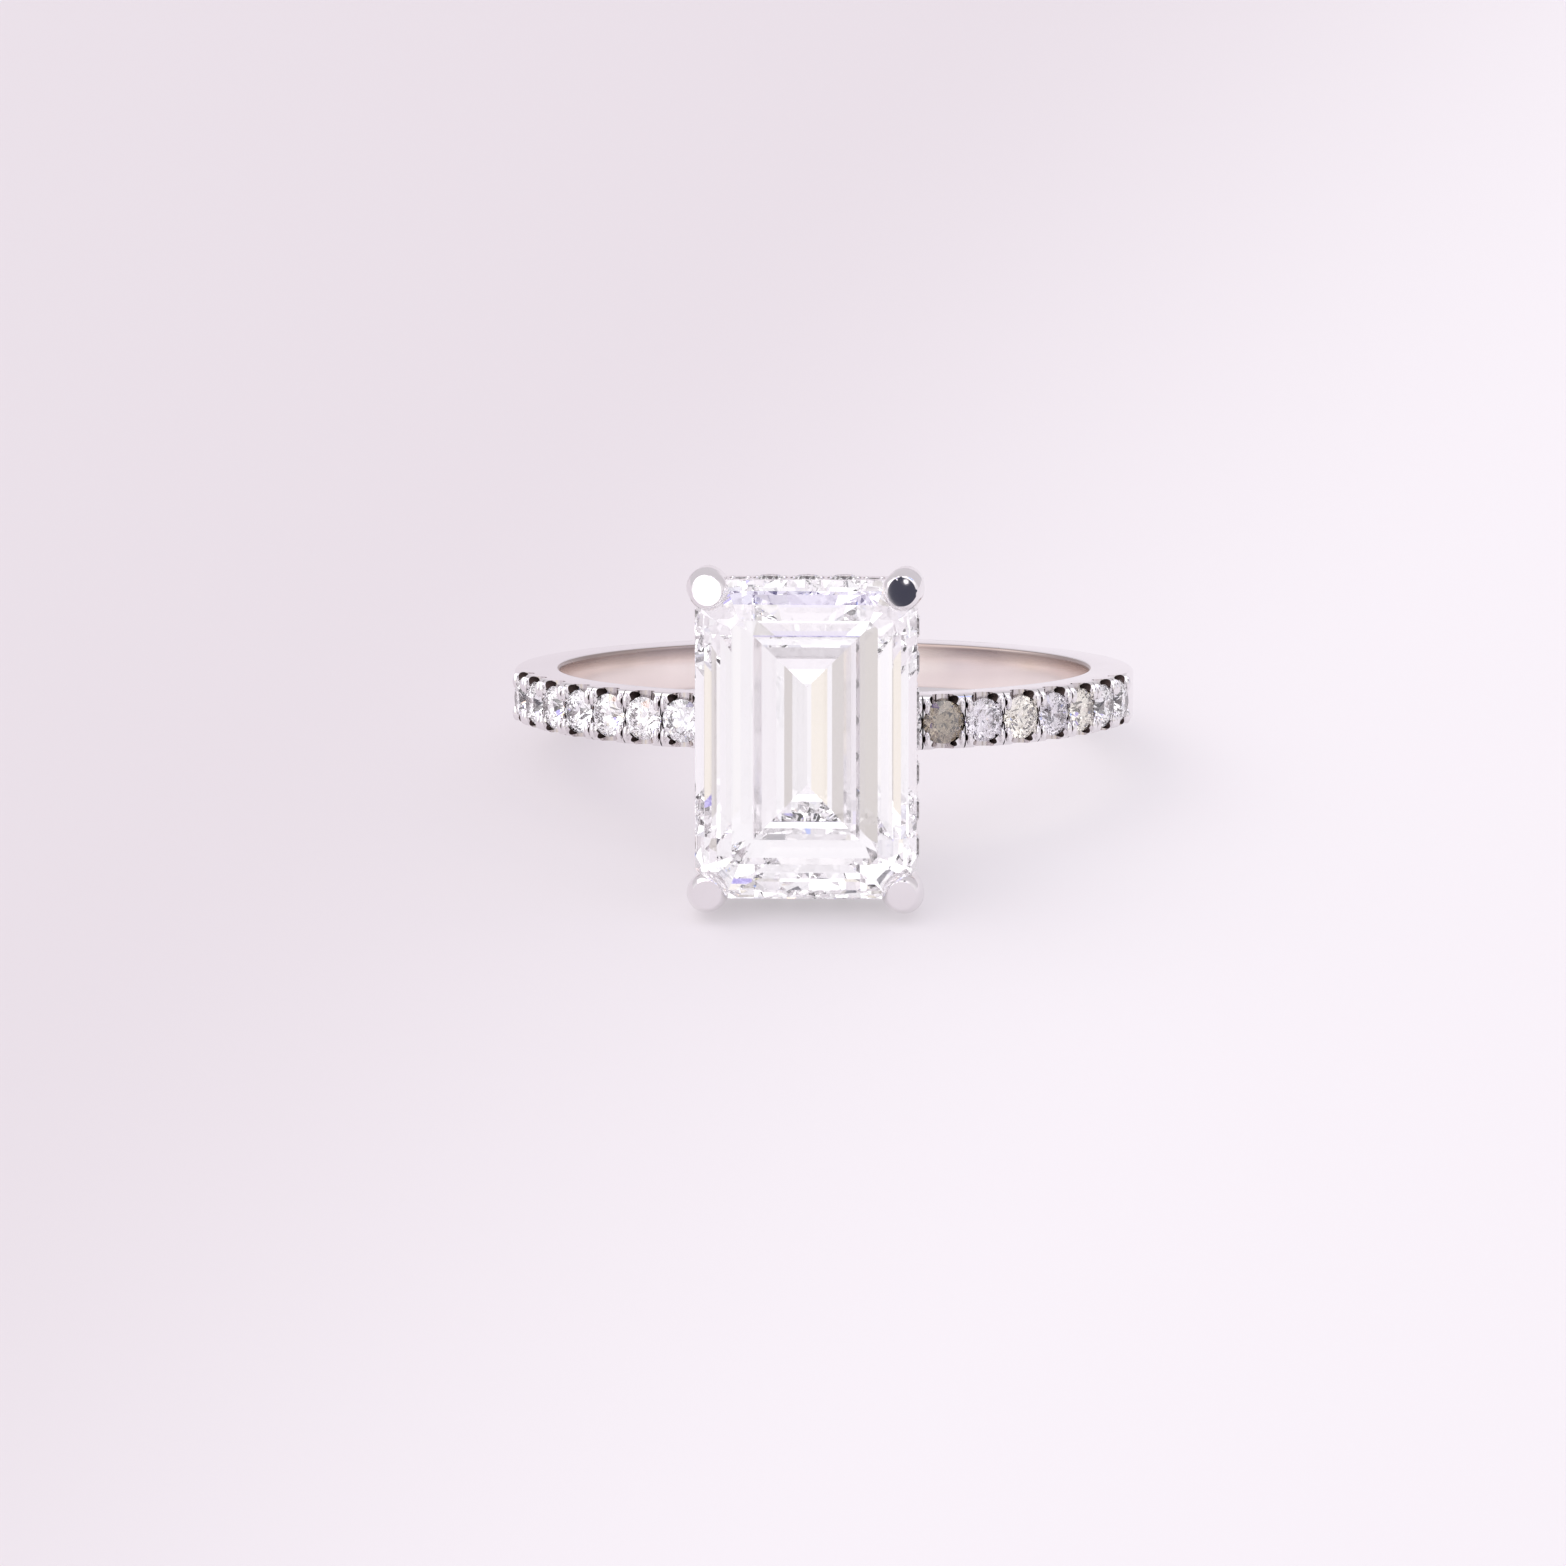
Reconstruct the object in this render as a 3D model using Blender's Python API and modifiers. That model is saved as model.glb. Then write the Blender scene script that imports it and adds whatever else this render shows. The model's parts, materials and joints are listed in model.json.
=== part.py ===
"""Engagement ring: a step-cut centre stone in a four-claw basket with a hidden halo.

The band's shoulders are set with small round stones. In the ring's own frame, in metres, X goes across the
band, -Y from the finger towards the centre stone, and Z along the finger. Its origin is the centre of the
finger hole. The finished ring lies on its side on the plane z = 0, on its two lower claws and its back.
"""

import math

import bmesh
import bpy
from mathutils import Matrix, Vector

MM = 0.001

# The band.
FINGER_DIAMETER = 16.5 * MM
BAND_WALL = 1.4 * MM
BAND_EDGE_BESIDE_STONES = 0.20 * MM
BAND_TAPER = 0.28 * MM
BAND_INNER_ROUND = 0.12 * MM
BAND_OUTER_ROUND = 0.16 * MM
BAND_STEPS = 64

# The small round stones of the band's shoulders, and what holds them.
SHOULDER_STONES_PER_SIDE = 8
SHOULDER_STONE_DIAMETER = 1.28 * MM
SHOULDER_STONE_GAP = 0.105 * MM
SHOULDER_PRONG_RADIUS = 0.17 * MM
SHOULDER_SINK = 0.08 * MM
SHOULDER_SIDES = 8

# The centre stone, a rectangular step cut with cut corners.
STONE_LENGTH = 9.60 * MM
STONE_WIDTH = 6.65 * MM
STONE_CORNER = 0.90 * MM
GIRDLE_THICKNESS = 0.20 * MM
CROWN_STEPS = ((47.0, 0.30 * MM), (39.0, 0.38 * MM), (30.0, 0.46 * MM))
PAVILION_STEPS = ((56.0, 0.74 * MM), (46.0, 0.98 * MM))
KEEL_ANGLE_DEG = 37.0
CULET_ABOVE_BAND = 0.52 * MM

# The hidden halo: a rail under the girdle whose outer wall carries small round stones.
HALO_STONE_DIAMETER = 0.99 * MM
HALO_END_STONE_SHARE = 0.62
HALO_SPACING = 1.12
HALO_RAIL_HEIGHT = 1.24 * MM
HALO_RAIL_WALL = 0.86 * MM
HALO_RAIL_BELOW_GIRDLE = 0.34 * MM
HALO_PRONG_RADIUS = 0.13 * MM
HALO_SINK = 0.05 * MM
HALO_SIDES = 6

# The claws, tapered wires that hold the centre stone's corners.
CLAW_TIP_RADIUS = 0.60 * MM
CLAW_SHAFT_RADIUS = 0.52 * MM
CLAW_FOOT_RADIUS = 0.34 * MM
CLAW_OUTSIDE_CORNER_X = 0.10 * MM
CLAW_OUTSIDE_CORNER_Y = 0.26 * MM
CLAW_TIP_RISE = 0.98 * MM
CLAW_TIP_LEAN = 0.60 * MM

# The base rail, a closed wire that joins the claws' feet and sits on the band.
BASE_RAIL_HALF_X = 1.66 * MM
BASE_RAIL_HALF_Y = 3.10 * MM
BASE_RAIL_CORNER = 0.95 * MM
BASE_RAIL_WIRE_RADIUS = 0.38 * MM
BASE_RAIL_BEDDING = 0.07 * MM

# Clearance between neighbouring pieces.
FIT = 0.02 * MM
SEAT_FIT = 0.03 * MM

# Proportions of a round stone as shares of its diameter.
ROUND_CROWN = 0.15
ROUND_PAVILION = 0.43
ROUND_GIRDLE = 0.035
ROUND_TABLE = 0.57
PRONG_SPLIT = 0.03 * MM
DRILLED_HOLE = 0.38

FINGER_RADIUS = FINGER_DIAMETER / 2
BAND_RADIUS = FINGER_RADIUS + BAND_WALL
BAND_WIDTH_AT_HEAD = SHOULDER_STONE_DIAMETER + 2 * BAND_EDGE_BESIDE_STONES
BAND_WIDTH_AT_BACK = BAND_WIDTH_AT_HEAD - BAND_TAPER

# The shoulder stones' girdles lie on this radius. The first one stands clear of the base rail.
SHOULDER_RADIUS = BAND_RADIUS - SHOULDER_SINK
SHOULDER_CELL = SHOULDER_STONE_DIAMETER + SHOULDER_STONE_GAP
SHOULDER_PITCH = 2 * math.asin(SHOULDER_CELL / 2 / SHOULDER_RADIUS)
SHOULDER_FIRST = math.asin(
    (BASE_RAIL_HALF_X + BASE_RAIL_WIRE_RADIUS + SHOULDER_STONE_DIAMETER / 2) / SHOULDER_RADIUS
)


def band_half_width(y):
    """Half the band's width at the local place y. It narrows evenly from the head to the back."""
    share = (BAND_RADIUS - y) / (2 * BAND_RADIUS)
    return (BAND_WIDTH_AT_BACK + share * (BAND_WIDTH_AT_HEAD - BAND_WIDTH_AT_BACK)) / 2


def new_collection(name):
    found = bpy.data.collections.new(name)
    bpy.context.scene.collection.children.link(found)
    return found


def new_material(name, colour, roughness, metallic, transmission=0.0):
    made = bpy.data.materials.new(name)
    made.use_nodes = True
    shader = made.node_tree.nodes["Principled BSDF"]
    shader.inputs["Base Color"].default_value = (*colour, 1)
    shader.inputs["Roughness"].default_value = roughness
    shader.inputs["Metallic"].default_value = metallic
    shader.inputs["Transmission Weight"].default_value = transmission
    return made


def new_object(name, mesh, collection, matrix=None, material=None, parent=None):
    made = bpy.data.objects.new(name, mesh)
    collection.objects.link(made)
    if matrix is not None:
        made.matrix_world = matrix
    if material is not None and not mesh.materials:
        mesh.materials.append(material)
    if parent is not None:
        made.parent = parent
    if collection is CUTTERS:
        made.hide_render = True
        made.display_type = "WIRE"
    return made


def mesh_from(bm, name):
    mesh = bpy.data.meshes.new(name)
    bm.to_mesh(mesh)
    bm.free()
    return mesh


def baked_mesh(obj, name):
    """The evaluated mesh of a curve or a modified object, with its caps welded, and the object removed."""
    bpy.context.view_layer.update()
    graph = bpy.context.evaluated_depsgraph_get()
    mesh = bpy.data.meshes.new_from_object(obj.evaluated_get(graph))
    mesh.name = name
    mesh.transform(obj.matrix_world)
    bm = bmesh.new()
    bm.from_mesh(mesh)
    bmesh.ops.remove_doubles(bm, verts=bm.verts, dist=0.001 * MM)
    bmesh.ops.recalc_face_normals(bm, faces=bm.faces)
    bm.to_mesh(mesh)
    bm.free()
    bpy.data.objects.remove(obj)
    return mesh


def turned_mesh(name, profile, steps):
    """A profile of (radius, height) points, outer side from top to bottom, turned once round Z."""
    mesh = bpy.data.meshes.new(name)
    closed = profile[0][0] > 0 and profile[-1][0] > 0
    edges = [(i, i + 1) for i in range(len(profile) - 1)]
    if closed:
        edges.append((len(profile) - 1, 0))
    mesh.from_pydata([(r, 0, z) for r, z in profile], edges, [])
    obj = bpy.data.objects.new(name, mesh)
    CUTTERS.objects.link(obj)
    screw = obj.modifiers.new("turn", "SCREW")
    screw.steps = screw.render_steps = steps
    screw.use_merge_vertices = True
    screw.merge_threshold = 0.001 * MM
    return baked_mesh(obj, name)


def boolean(obj, operation, cutters, solver="EXACT"):
    """Joins or cuts every object of a collection.

    The manifold solver is for a row of prongs, where the exact one leaves edges open.
    """
    modifier = obj.modifiers.new(f"{operation.lower()} {cutters.name}", "BOOLEAN")
    modifier.operation = operation
    modifier.operand_type = "COLLECTION"
    modifier.collection = cutters
    modifier.solver = solver


def group_of_cutters(name):
    made = bpy.data.collections.new(name)
    CUTTERS.children.link(made)
    return made


def add_cutter(name, mesh, matrix, group):
    made = bpy.data.objects.new(name, mesh)
    group.objects.link(made)
    made.matrix_world = matrix
    made.parent = RING
    made.hide_render = True
    made.display_type = "WIRE"
    return made


# Places on the ring.


def outward_frame(angle, radius):
    """The frame at an angle from the head: X along the band, Y along the finger, Z away from the finger."""
    away = Vector((math.sin(angle), -math.cos(angle), 0))
    along = Vector((math.cos(angle), math.sin(angle), 0))
    rotation = Matrix((along, (0, 0, 1), away)).transposed().to_4x4()
    return Matrix.Translation(away * radius) @ rotation


def side_frame(normal_deg, place, reach, height):
    """In the head's frame, the frame of a stone on the side that faces that direction.

    place is along the side, reach is the side's distance from the centre, height is along the head's axis.
    """
    angle = math.radians(normal_deg)
    away = Vector((math.cos(angle), math.sin(angle), 0))
    along = Vector((-math.sin(angle), math.cos(angle), 0))
    rotation = Matrix((along, (0, 0, 1), away)).transposed().to_4x4()
    return Matrix.Translation(away * reach + along * place + Vector((0, 0, height))) @ rotation


# Stones are ground from a blank, one facet plane at a time, as a cutter does it.


def grind(bm, normal, distance):
    """Cuts away what lies beyond the plane at that distance along the normal, and closes the cut."""
    normal = Vector(normal).normalized()
    cut = bmesh.ops.bisect_plane(
        bm,
        geom=[*bm.verts, *bm.edges, *bm.faces],
        dist=1e-5 * MM,
        plane_co=normal * distance,
        plane_no=normal,
        clear_outer=True,
    )
    rim = [e for e in cut["geom_cut"] if isinstance(e, bmesh.types.BMEdge)]
    if rim:
        bmesh.ops.contextual_create(bm, geom=rim)


def sloped(direction_deg, slope_deg, up):
    """The normal of a facet that faces a compass direction and slopes that far from the girdle plane."""
    direction, slope = math.radians(direction_deg), math.radians(slope_deg)
    flat = Vector((math.cos(direction), math.sin(direction), 0)) * math.sin(slope)
    return flat + Vector((0, 0, up * math.cos(slope)))


def girdle_sides():
    """(direction, distance from the centre) of the centre stone's eight sides."""
    half_x, half_y = STONE_WIDTH / 2, STONE_LENGTH / 2
    corner = math.degrees(math.atan2(1, 1))
    corner_reach = (half_x + half_y - STONE_CORNER) / math.sqrt(2)
    straight = [(0, half_x), (90, half_y), (180, half_x), (270, half_y)]
    return straight + [(corner + 90 * i, corner_reach) for i in range(4)]


def step_depths():
    """Crown height, and the pavilion's depth down to its keel."""
    crown = sum(run * math.tan(math.radians(slope)) for slope, run in CROWN_STEPS)
    upper = sum(run * math.tan(math.radians(slope)) for slope, run in PAVILION_STEPS)
    last_run = STONE_WIDTH / 2 - sum(run for _, run in PAVILION_STEPS)
    return crown, upper + last_run * math.tan(math.radians(KEEL_ANGLE_DEG))


CROWN_HEIGHT, PAVILION_DEPTH = step_depths()
GIRDLE_RADIUS = BAND_RADIUS + CULET_ABOVE_BAND + PAVILION_DEPTH


def step_cut_mesh(name, grow=0.0):
    """The centre stone, its girdle's lower edge in z = 0. grow moves each facet outwards."""
    bm = bmesh.new()
    bmesh.ops.create_cube(bm, size=2 * STONE_LENGTH)
    for direction, reach in girdle_sides():
        grind(bm, sloped(direction, 90, 1), reach + grow)
    grind(bm, (0, 0, 1), GIRDLE_THICKNESS + CROWN_HEIGHT + grow)
    for up, level, steps in (
        (1, GIRDLE_THICKNESS, CROWN_STEPS),
        (-1, 0.0, (*PAVILION_STEPS, (KEEL_ANGLE_DEG, STONE_WIDTH))),
    ):
        inset, height = 0.0, level
        for slope, run in steps:
            for direction, reach in girdle_sides():
                normal = sloped(direction, slope, up)
                edge = Vector((0, 0, up * height)) + sloped(direction, 90, 1) * (reach - inset)
                grind(bm, normal, edge.dot(normal) + grow)
            inset += run
            height += run * math.tan(math.radians(slope))
    return mesh_from(bm, name)


def round_cut_mesh(name, diameter, sides, grow=0.0):
    """A small round stone: a table, that many crown and pavilion facets, and twice as many girdle flats."""
    radius, belt = diameter / 2, ROUND_GIRDLE * diameter / 2
    crown_slope = math.degrees(math.atan2(ROUND_CROWN, (1 - ROUND_TABLE) / 2))
    pavilion_slope = math.degrees(math.atan2(ROUND_PAVILION, 0.5))
    bm = bmesh.new()
    bmesh.ops.create_cube(bm, size=2 * diameter)
    for i in range(2 * sides):
        grind(bm, sloped(i * 180 / sides, 90, 1), radius + grow)
    grind(bm, (0, 0, 1), belt + ROUND_CROWN * diameter + grow)
    for up, slope in ((1, crown_slope), (-1, pavilion_slope)):
        for i in range(sides):
            direction = i * 360 / sides
            normal = sloped(direction, slope, up)
            edge = sloped(direction, 90, 1) * radius + Vector((0, 0, up * belt))
            grind(bm, normal, edge.dot(normal) + grow)
    return mesh_from(bm, name)


# Metal shapes.


def rounded_profile():
    """The band's section as (radius, height) points: outer side down, then the inner side up."""
    half = BAND_WIDTH_AT_HEAD / 2
    corners = (
        (BAND_RADIUS, half, BAND_OUTER_ROUND, 90, 2),
        (BAND_RADIUS, -half, BAND_OUTER_ROUND, 0, 2),
        (FINGER_RADIUS, -half, BAND_INNER_ROUND, -90, 1),
        (FINGER_RADIUS, half, BAND_INNER_ROUND, -180, 1),
    )
    points = []
    for radius, height, rounding, start, steps in corners:
        centre_r = radius + (-rounding if radius == BAND_RADIUS else rounding)
        centre_h = height + (-rounding if height > 0 else rounding)
        for step in range(steps + 1):
            angle = math.radians(start - 90 * step / steps)
            points.append((centre_r + rounding * math.cos(angle), centre_h + rounding * math.sin(angle)))
    return points


def band_blank_mesh():
    """The turned band, narrowed evenly from the head to the back, so that its two side faces stay flat."""
    mesh = turned_mesh("band_blank", rounded_profile(), BAND_STEPS)
    for vertex in mesh.vertices:
        vertex.co.z *= band_half_width(vertex.co.y) / (BAND_WIDTH_AT_HEAD / 2)
    return mesh


def prong_set_mesh(name, diameter, sides, cell, radius, depth, rise, flats):
    """The four prongs of one round stone, each notched for its girdle. cell is the stone's share of its row.

    Each prong is a post with a pointed top that laps the girdle by half the post's radius.
    """
    along = cell / 2 - radius - PRONG_SPLIT / 2
    across = math.sqrt((diameter / 2 + radius / 2) ** 2 - along**2)
    profile = [(0, rise), (radius, rise - 0.6 * radius), (radius, -depth), (0, -depth)]
    post = turned_mesh(name, profile, flats)
    post.transform(Matrix.Translation((along, across, 0)))
    obj = bpy.data.objects.new(name, post)
    CUTTERS.objects.link(obj)
    room = group_of_cutters(f"{name}_room")
    cutter = bpy.data.objects.new(f"{name}_room", round_cut_mesh(f"{name}_room", diameter, sides, FIT))
    room.objects.link(cutter)
    cutter.hide_render = True
    cutter.display_type = "WIRE"
    boolean(obj, "DIFFERENCE", room)
    mirror = obj.modifiers.new("four corners", "MIRROR")
    mirror.use_axis = (True, True, False)
    mirror.use_mirror_merge = False
    return baked_mesh(obj, name)


def cylinder_mesh(name, radius, length, sides):
    """A cylinder along Z, centred on the origin."""
    bm = bmesh.new()
    bmesh.ops.create_cone(bm, cap_ends=True, segments=sides, radius1=radius, radius2=radius, depth=length)
    return mesh_from(bm, name)


def seat_mesh(name, diameter, sides, floor):
    """The cutter of a round stone's seat: a straight wall, a cone under the girdle, and a drilled hole.

    Its flats stand in line with the stone's girdle flats.
    """
    half_flat = math.pi / (2 * sides)
    radius = (diameter / 2 + SEAT_FIT) / math.cos(half_flat)
    hole = DRILLED_HOLE * diameter / 2
    ledge = ROUND_GIRDLE * diameter / 2 + 2 * FIT
    drop = ROUND_PAVILION * diameter * (1 - hole / radius)
    wall = [(0, diameter), (radius, diameter), (radius, -ledge)]
    profile = [*wall, (hole, -drop - ledge), (hole, -floor), (0, -floor)]
    mesh = turned_mesh(name, profile, 2 * sides)
    mesh.transform(Matrix.Rotation(half_flat, 4, "Z"))
    return mesh


def claw_place(inward):
    """The claw's middle in the head's XY plane, moved that far along the diagonal towards the stone."""
    x = (STONE_WIDTH - STONE_CORNER) / 2 + CLAW_OUTSIDE_CORNER_X
    y = (STONE_LENGTH - STONE_CORNER) / 2 + CLAW_OUTSIDE_CORNER_Y
    return Vector((x, y)) - Vector((1, 1)).normalized() * inward


def base_rail_height():
    """The height of the base rail's wire in the head's frame, bedded a little into the band."""
    band_top = math.sqrt(BAND_RADIUS**2 - BASE_RAIL_HALF_X**2)
    return band_top + BASE_RAIL_WIRE_RADIUS - BASE_RAIL_BEDDING - GIRDLE_RADIUS


def claw_path():
    """(x, y, height, radius) along one claw's middle line, from its foot to its domed tip."""
    foot_inset = BASE_RAIL_CORNER * (1 - math.sqrt(0.5))
    foot = Vector((BASE_RAIL_HALF_X - foot_inset, BASE_RAIL_HALF_Y - foot_inset))
    rail_low = -HALO_RAIL_BELOW_GIRDLE - HALO_RAIL_HEIGHT
    shaft, neck = claw_place(0.04 * MM), claw_place(0.0)
    path = [
        (*foot, base_rail_height(), CLAW_FOOT_RADIUS),
        (*foot.lerp(shaft, 0.40), base_rail_height() + 0.52 * MM, 0.40 * MM),
        (*foot.lerp(shaft, 0.80), rail_low - 0.30 * MM, 0.46 * MM),
        (*shaft, rail_low + 0.45 * MM, CLAW_SHAFT_RADIUS),
        (*neck, 0.0, CLAW_SHAFT_RADIUS + 0.03 * MM),
    ]
    top = GIRDLE_THICKNESS + CLAW_TIP_RISE
    steps = 7
    for i in range(1, steps + 1):
        share = i / steps
        lean = CLAW_TIP_LEAN * share**1.6
        place = claw_place(lean)
        height = 0.25 * MM + (top - 0.25 * MM) * math.sin(share * math.pi / 2)
        radius = CLAW_TIP_RADIUS * math.sqrt(max(0.0, 1 - max(0.0, share - 0.35) ** 2 / 0.65**2 * 0.96))
        path.append((*place, height, radius))
    return path


def wire_mesh(name, points, radii, resolution, closed=False):
    """A round wire through points, with a radius at each, as a closed mesh."""
    curve = bpy.data.curves.new(name, "CURVE")
    curve.dimensions = "3D"
    curve.bevel_depth = 1.0
    curve.bevel_resolution = resolution
    curve.use_fill_caps = not closed
    spline = curve.splines.new("POLY")
    spline.points.add(len(points) - 1)
    for point, place, radius in zip(spline.points, points, radii):
        point.co = (*place, 1)
        point.radius = radius
    spline.use_cyclic_u = closed
    obj = bpy.data.objects.new(name, curve)
    CUTTERS.objects.link(obj)
    return baked_mesh(obj, name)


def claw_mesh(name, sign_x, sign_y):
    path = claw_path()
    points = [(sign_x * x, sign_y * y, height) for x, y, height, _ in path]
    return wire_mesh(name, points, [radius for *_, radius in path], 3)


def base_rail_mesh(name, grow=0.0):
    """The base rail: a closed wire on a rectangle with round corners."""
    points = []
    for sign_x, sign_y, start in ((1, 1, 0), (-1, 1, 90), (-1, -1, 180), (1, -1, 270)):
        x, y = BASE_RAIL_HALF_X - BASE_RAIL_CORNER, BASE_RAIL_HALF_Y - BASE_RAIL_CORNER
        centre = Vector((sign_x * x, sign_y * y))
        for step in range(5):
            angle = math.radians(start + 22.5 * step)
            edge = centre + Vector((math.cos(angle), math.sin(angle))) * BASE_RAIL_CORNER
            points.append((*edge, base_rail_height()))
    return wire_mesh(name, points, [BASE_RAIL_WIRE_RADIUS + grow] * len(points), 2, closed=True)


def octagon(half_x, half_y, corner):
    """A rectangle with cut corners, anticlockwise."""
    points = []
    for sign_x, sign_y in ((1, 1), (-1, 1), (-1, -1), (1, -1)):
        pair = [
            (sign_x * half_x, sign_y * (half_y - corner)),
            (sign_x * (half_x - corner), sign_y * half_y),
        ]
        points += pair if sign_x == sign_y else pair[::-1]
    return points


def halo_rail_mesh(name, grow=0.0):
    """The halo rail's blank, a flat outline with an opening, extruded along the head's axis."""
    corner_share = 2 - math.sqrt(2)
    outlines = []
    for outset in (grow, -HALO_RAIL_WALL - grow):
        half_x, half_y = STONE_WIDTH / 2 + outset, STONE_LENGTH / 2 + outset
        outlines.append(octagon(half_x, half_y, STONE_CORNER + outset * corner_share))
    curve = bpy.data.curves.new(name, "CURVE")
    curve.dimensions = "2D"
    curve.fill_mode = "BOTH"
    curve.extrude = HALO_RAIL_HEIGHT / 2 + grow
    for outline in outlines:
        spline = curve.splines.new("POLY")
        spline.points.add(len(outline) - 1)
        for point, place in zip(spline.points, outline):
            point.co = (*place, 0, 1)
        spline.use_cyclic_u = True
    obj = bpy.data.objects.new(name, curve)
    obj.location.z = -HALO_RAIL_BELOW_GIRDLE - HALO_RAIL_HEIGHT / 2
    CUTTERS.objects.link(obj)
    return baked_mesh(obj, name)


# Rows of small stones.


def shoulder_angles():
    """(signed angle from the head, side's name, number on that side) of every shoulder stone."""
    for side, name in ((-1, "left"), (1, "right")):
        for i in range(SHOULDER_STONES_PER_SIDE):
            yield side * (SHOULDER_FIRST + SHOULDER_PITCH * i), name, i + 1


def halo_row(straight):
    """(place along the side, share of a full stone's size) of the stones on a side of that straight length.

    The row has a stone in its middle, and a smaller one at each end where there is room for it.
    """
    pitch = HALO_SPACING * HALO_STONE_DIAMETER
    pairs = int((straight - pitch) / (2 * pitch))
    row = [(i * pitch, 1.0) for i in range(-pairs, pairs + 1)]
    end = (len(row) + HALO_END_STONE_SHARE) * pitch / 2
    if end + HALO_END_STONE_SHARE * pitch / 2 < straight / 2:
        row = [(-end, HALO_END_STONE_SHARE), *row, (end, HALO_END_STONE_SHARE)]
    return row


def halo_places():
    """(frame in the head's frame, share of a full stone's size) of every halo stone, round the rail."""
    height = -HALO_RAIL_BELOW_GIRDLE - HALO_RAIL_HEIGHT / 2
    sides = ((STONE_WIDTH, STONE_LENGTH), (STONE_LENGTH, STONE_WIDTH))
    for quarter in range(4):
        across, along = sides[quarter % 2]
        for place, share in halo_row(along - 2 * STONE_CORNER):
            yield side_frame(90 * quarter, place, across / 2 - HALO_SINK, height), share


def build_band():
    """The band with its seats, its scalloped edges and its prongs."""
    band = new_object("band", band_blank_mesh(), PARTS, material=WHITE_GOLD, parent=RING)
    seats, prongs = group_of_cutters("band_seats"), group_of_cutters("band_prongs")
    seat = seat_mesh("band_seat", SHOULDER_STONE_DIAMETER, SHOULDER_SIDES, BAND_WALL)
    scallop = cylinder_mesh("band_scallop", 0.31 * SHOULDER_STONE_DIAMETER, SHOULDER_STONE_DIAMETER, 8)
    scallop.transform(Matrix.Rotation(math.pi / 2, 4, "X") @ Matrix.Rotation(math.pi / 8, 4, "Z"))
    scallop_end = 0.44 * SHOULDER_STONE_DIAMETER
    prong_set = prong_set_mesh(
        "band_prongs", SHOULDER_STONE_DIAMETER, SHOULDER_SIDES, SHOULDER_CELL, SHOULDER_PRONG_RADIUS,
        0.35 * MM, SHOULDER_SINK + 0.17 * MM, 6
    )
    for angle, _, _ in shoulder_angles():
        place = outward_frame(angle, SHOULDER_RADIUS)
        add_cutter("band_seat", seat, place, seats)
        add_cutter("band_prong_set", prong_set, place, prongs)
        for side in (-1, 1):
            shift = Matrix.Translation((0, side * (scallop_end + SHOULDER_STONE_DIAMETER / 2), 0))
            add_cutter("band_scallop", scallop, place @ shift, seats)
    boolean(band, "DIFFERENCE", seats)
    boolean(band, "UNION", prongs, "MANIFOLD")


def build_shoulder_stones():
    mesh = round_cut_mesh("shoulder_stone", SHOULDER_STONE_DIAMETER, SHOULDER_SIDES)
    for angle, side, number in shoulder_angles():
        place = outward_frame(angle, SHOULDER_RADIUS)
        new_object(f"shoulder_stone_{side}_{number}", mesh, PARTS, place, SMALL_DIAMOND, RING)


def build_centre_stone():
    head = outward_frame(0, GIRDLE_RADIUS)
    new_object("centre_stone", step_cut_mesh("centre_stone"), PARTS, head, CENTRE_DIAMOND, RING)


def build_halo():
    """The halo rail with its stones. The rail's inside is bevelled to the centre stone's pavilion."""
    head = outward_frame(0, GIRDLE_RADIUS)
    rail = new_object("halo_rail", halo_rail_mesh("halo_rail"), PARTS, head, WHITE_GOLD, RING)
    seats, prongs = group_of_cutters("halo_seats"), group_of_cutters("halo_prongs")
    kinds = {}
    for share in (1.0, HALO_END_STONE_SHARE):
        diameter = HALO_STONE_DIAMETER * share
        cell, radius = HALO_SPACING * diameter, HALO_PRONG_RADIUS * share**0.5
        rise = HALO_SINK + 0.11 * MM
        kinds[share] = (
            round_cut_mesh("halo_stone", diameter, HALO_SIDES),
            seat_mesh("halo_seat", diameter, HALO_SIDES, 2 * HALO_RAIL_WALL),
            prong_set_mesh("halo_prongs", diameter, HALO_SIDES, cell, radius, 0.14 * MM, rise, 5),
        )
    for number, (place, share) in enumerate(halo_places(), 1):
        stone, seat, prong_set = kinds[share]
        new_object(f"halo_stone_{number:02d}", stone, PARTS, head @ place, SMALL_DIAMOND, RING)
        add_cutter("halo_seat", seat, head @ place, seats)
        add_cutter("halo_prong_set", prong_set, head @ place, prongs)
    add_cutter("centre_stone_room", step_cut_mesh("centre_stone_room", 1.5 * FIT), head, seats)
    boolean(rail, "DIFFERENCE", seats)
    boolean(rail, "UNION", prongs, "MANIFOLD")


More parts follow.
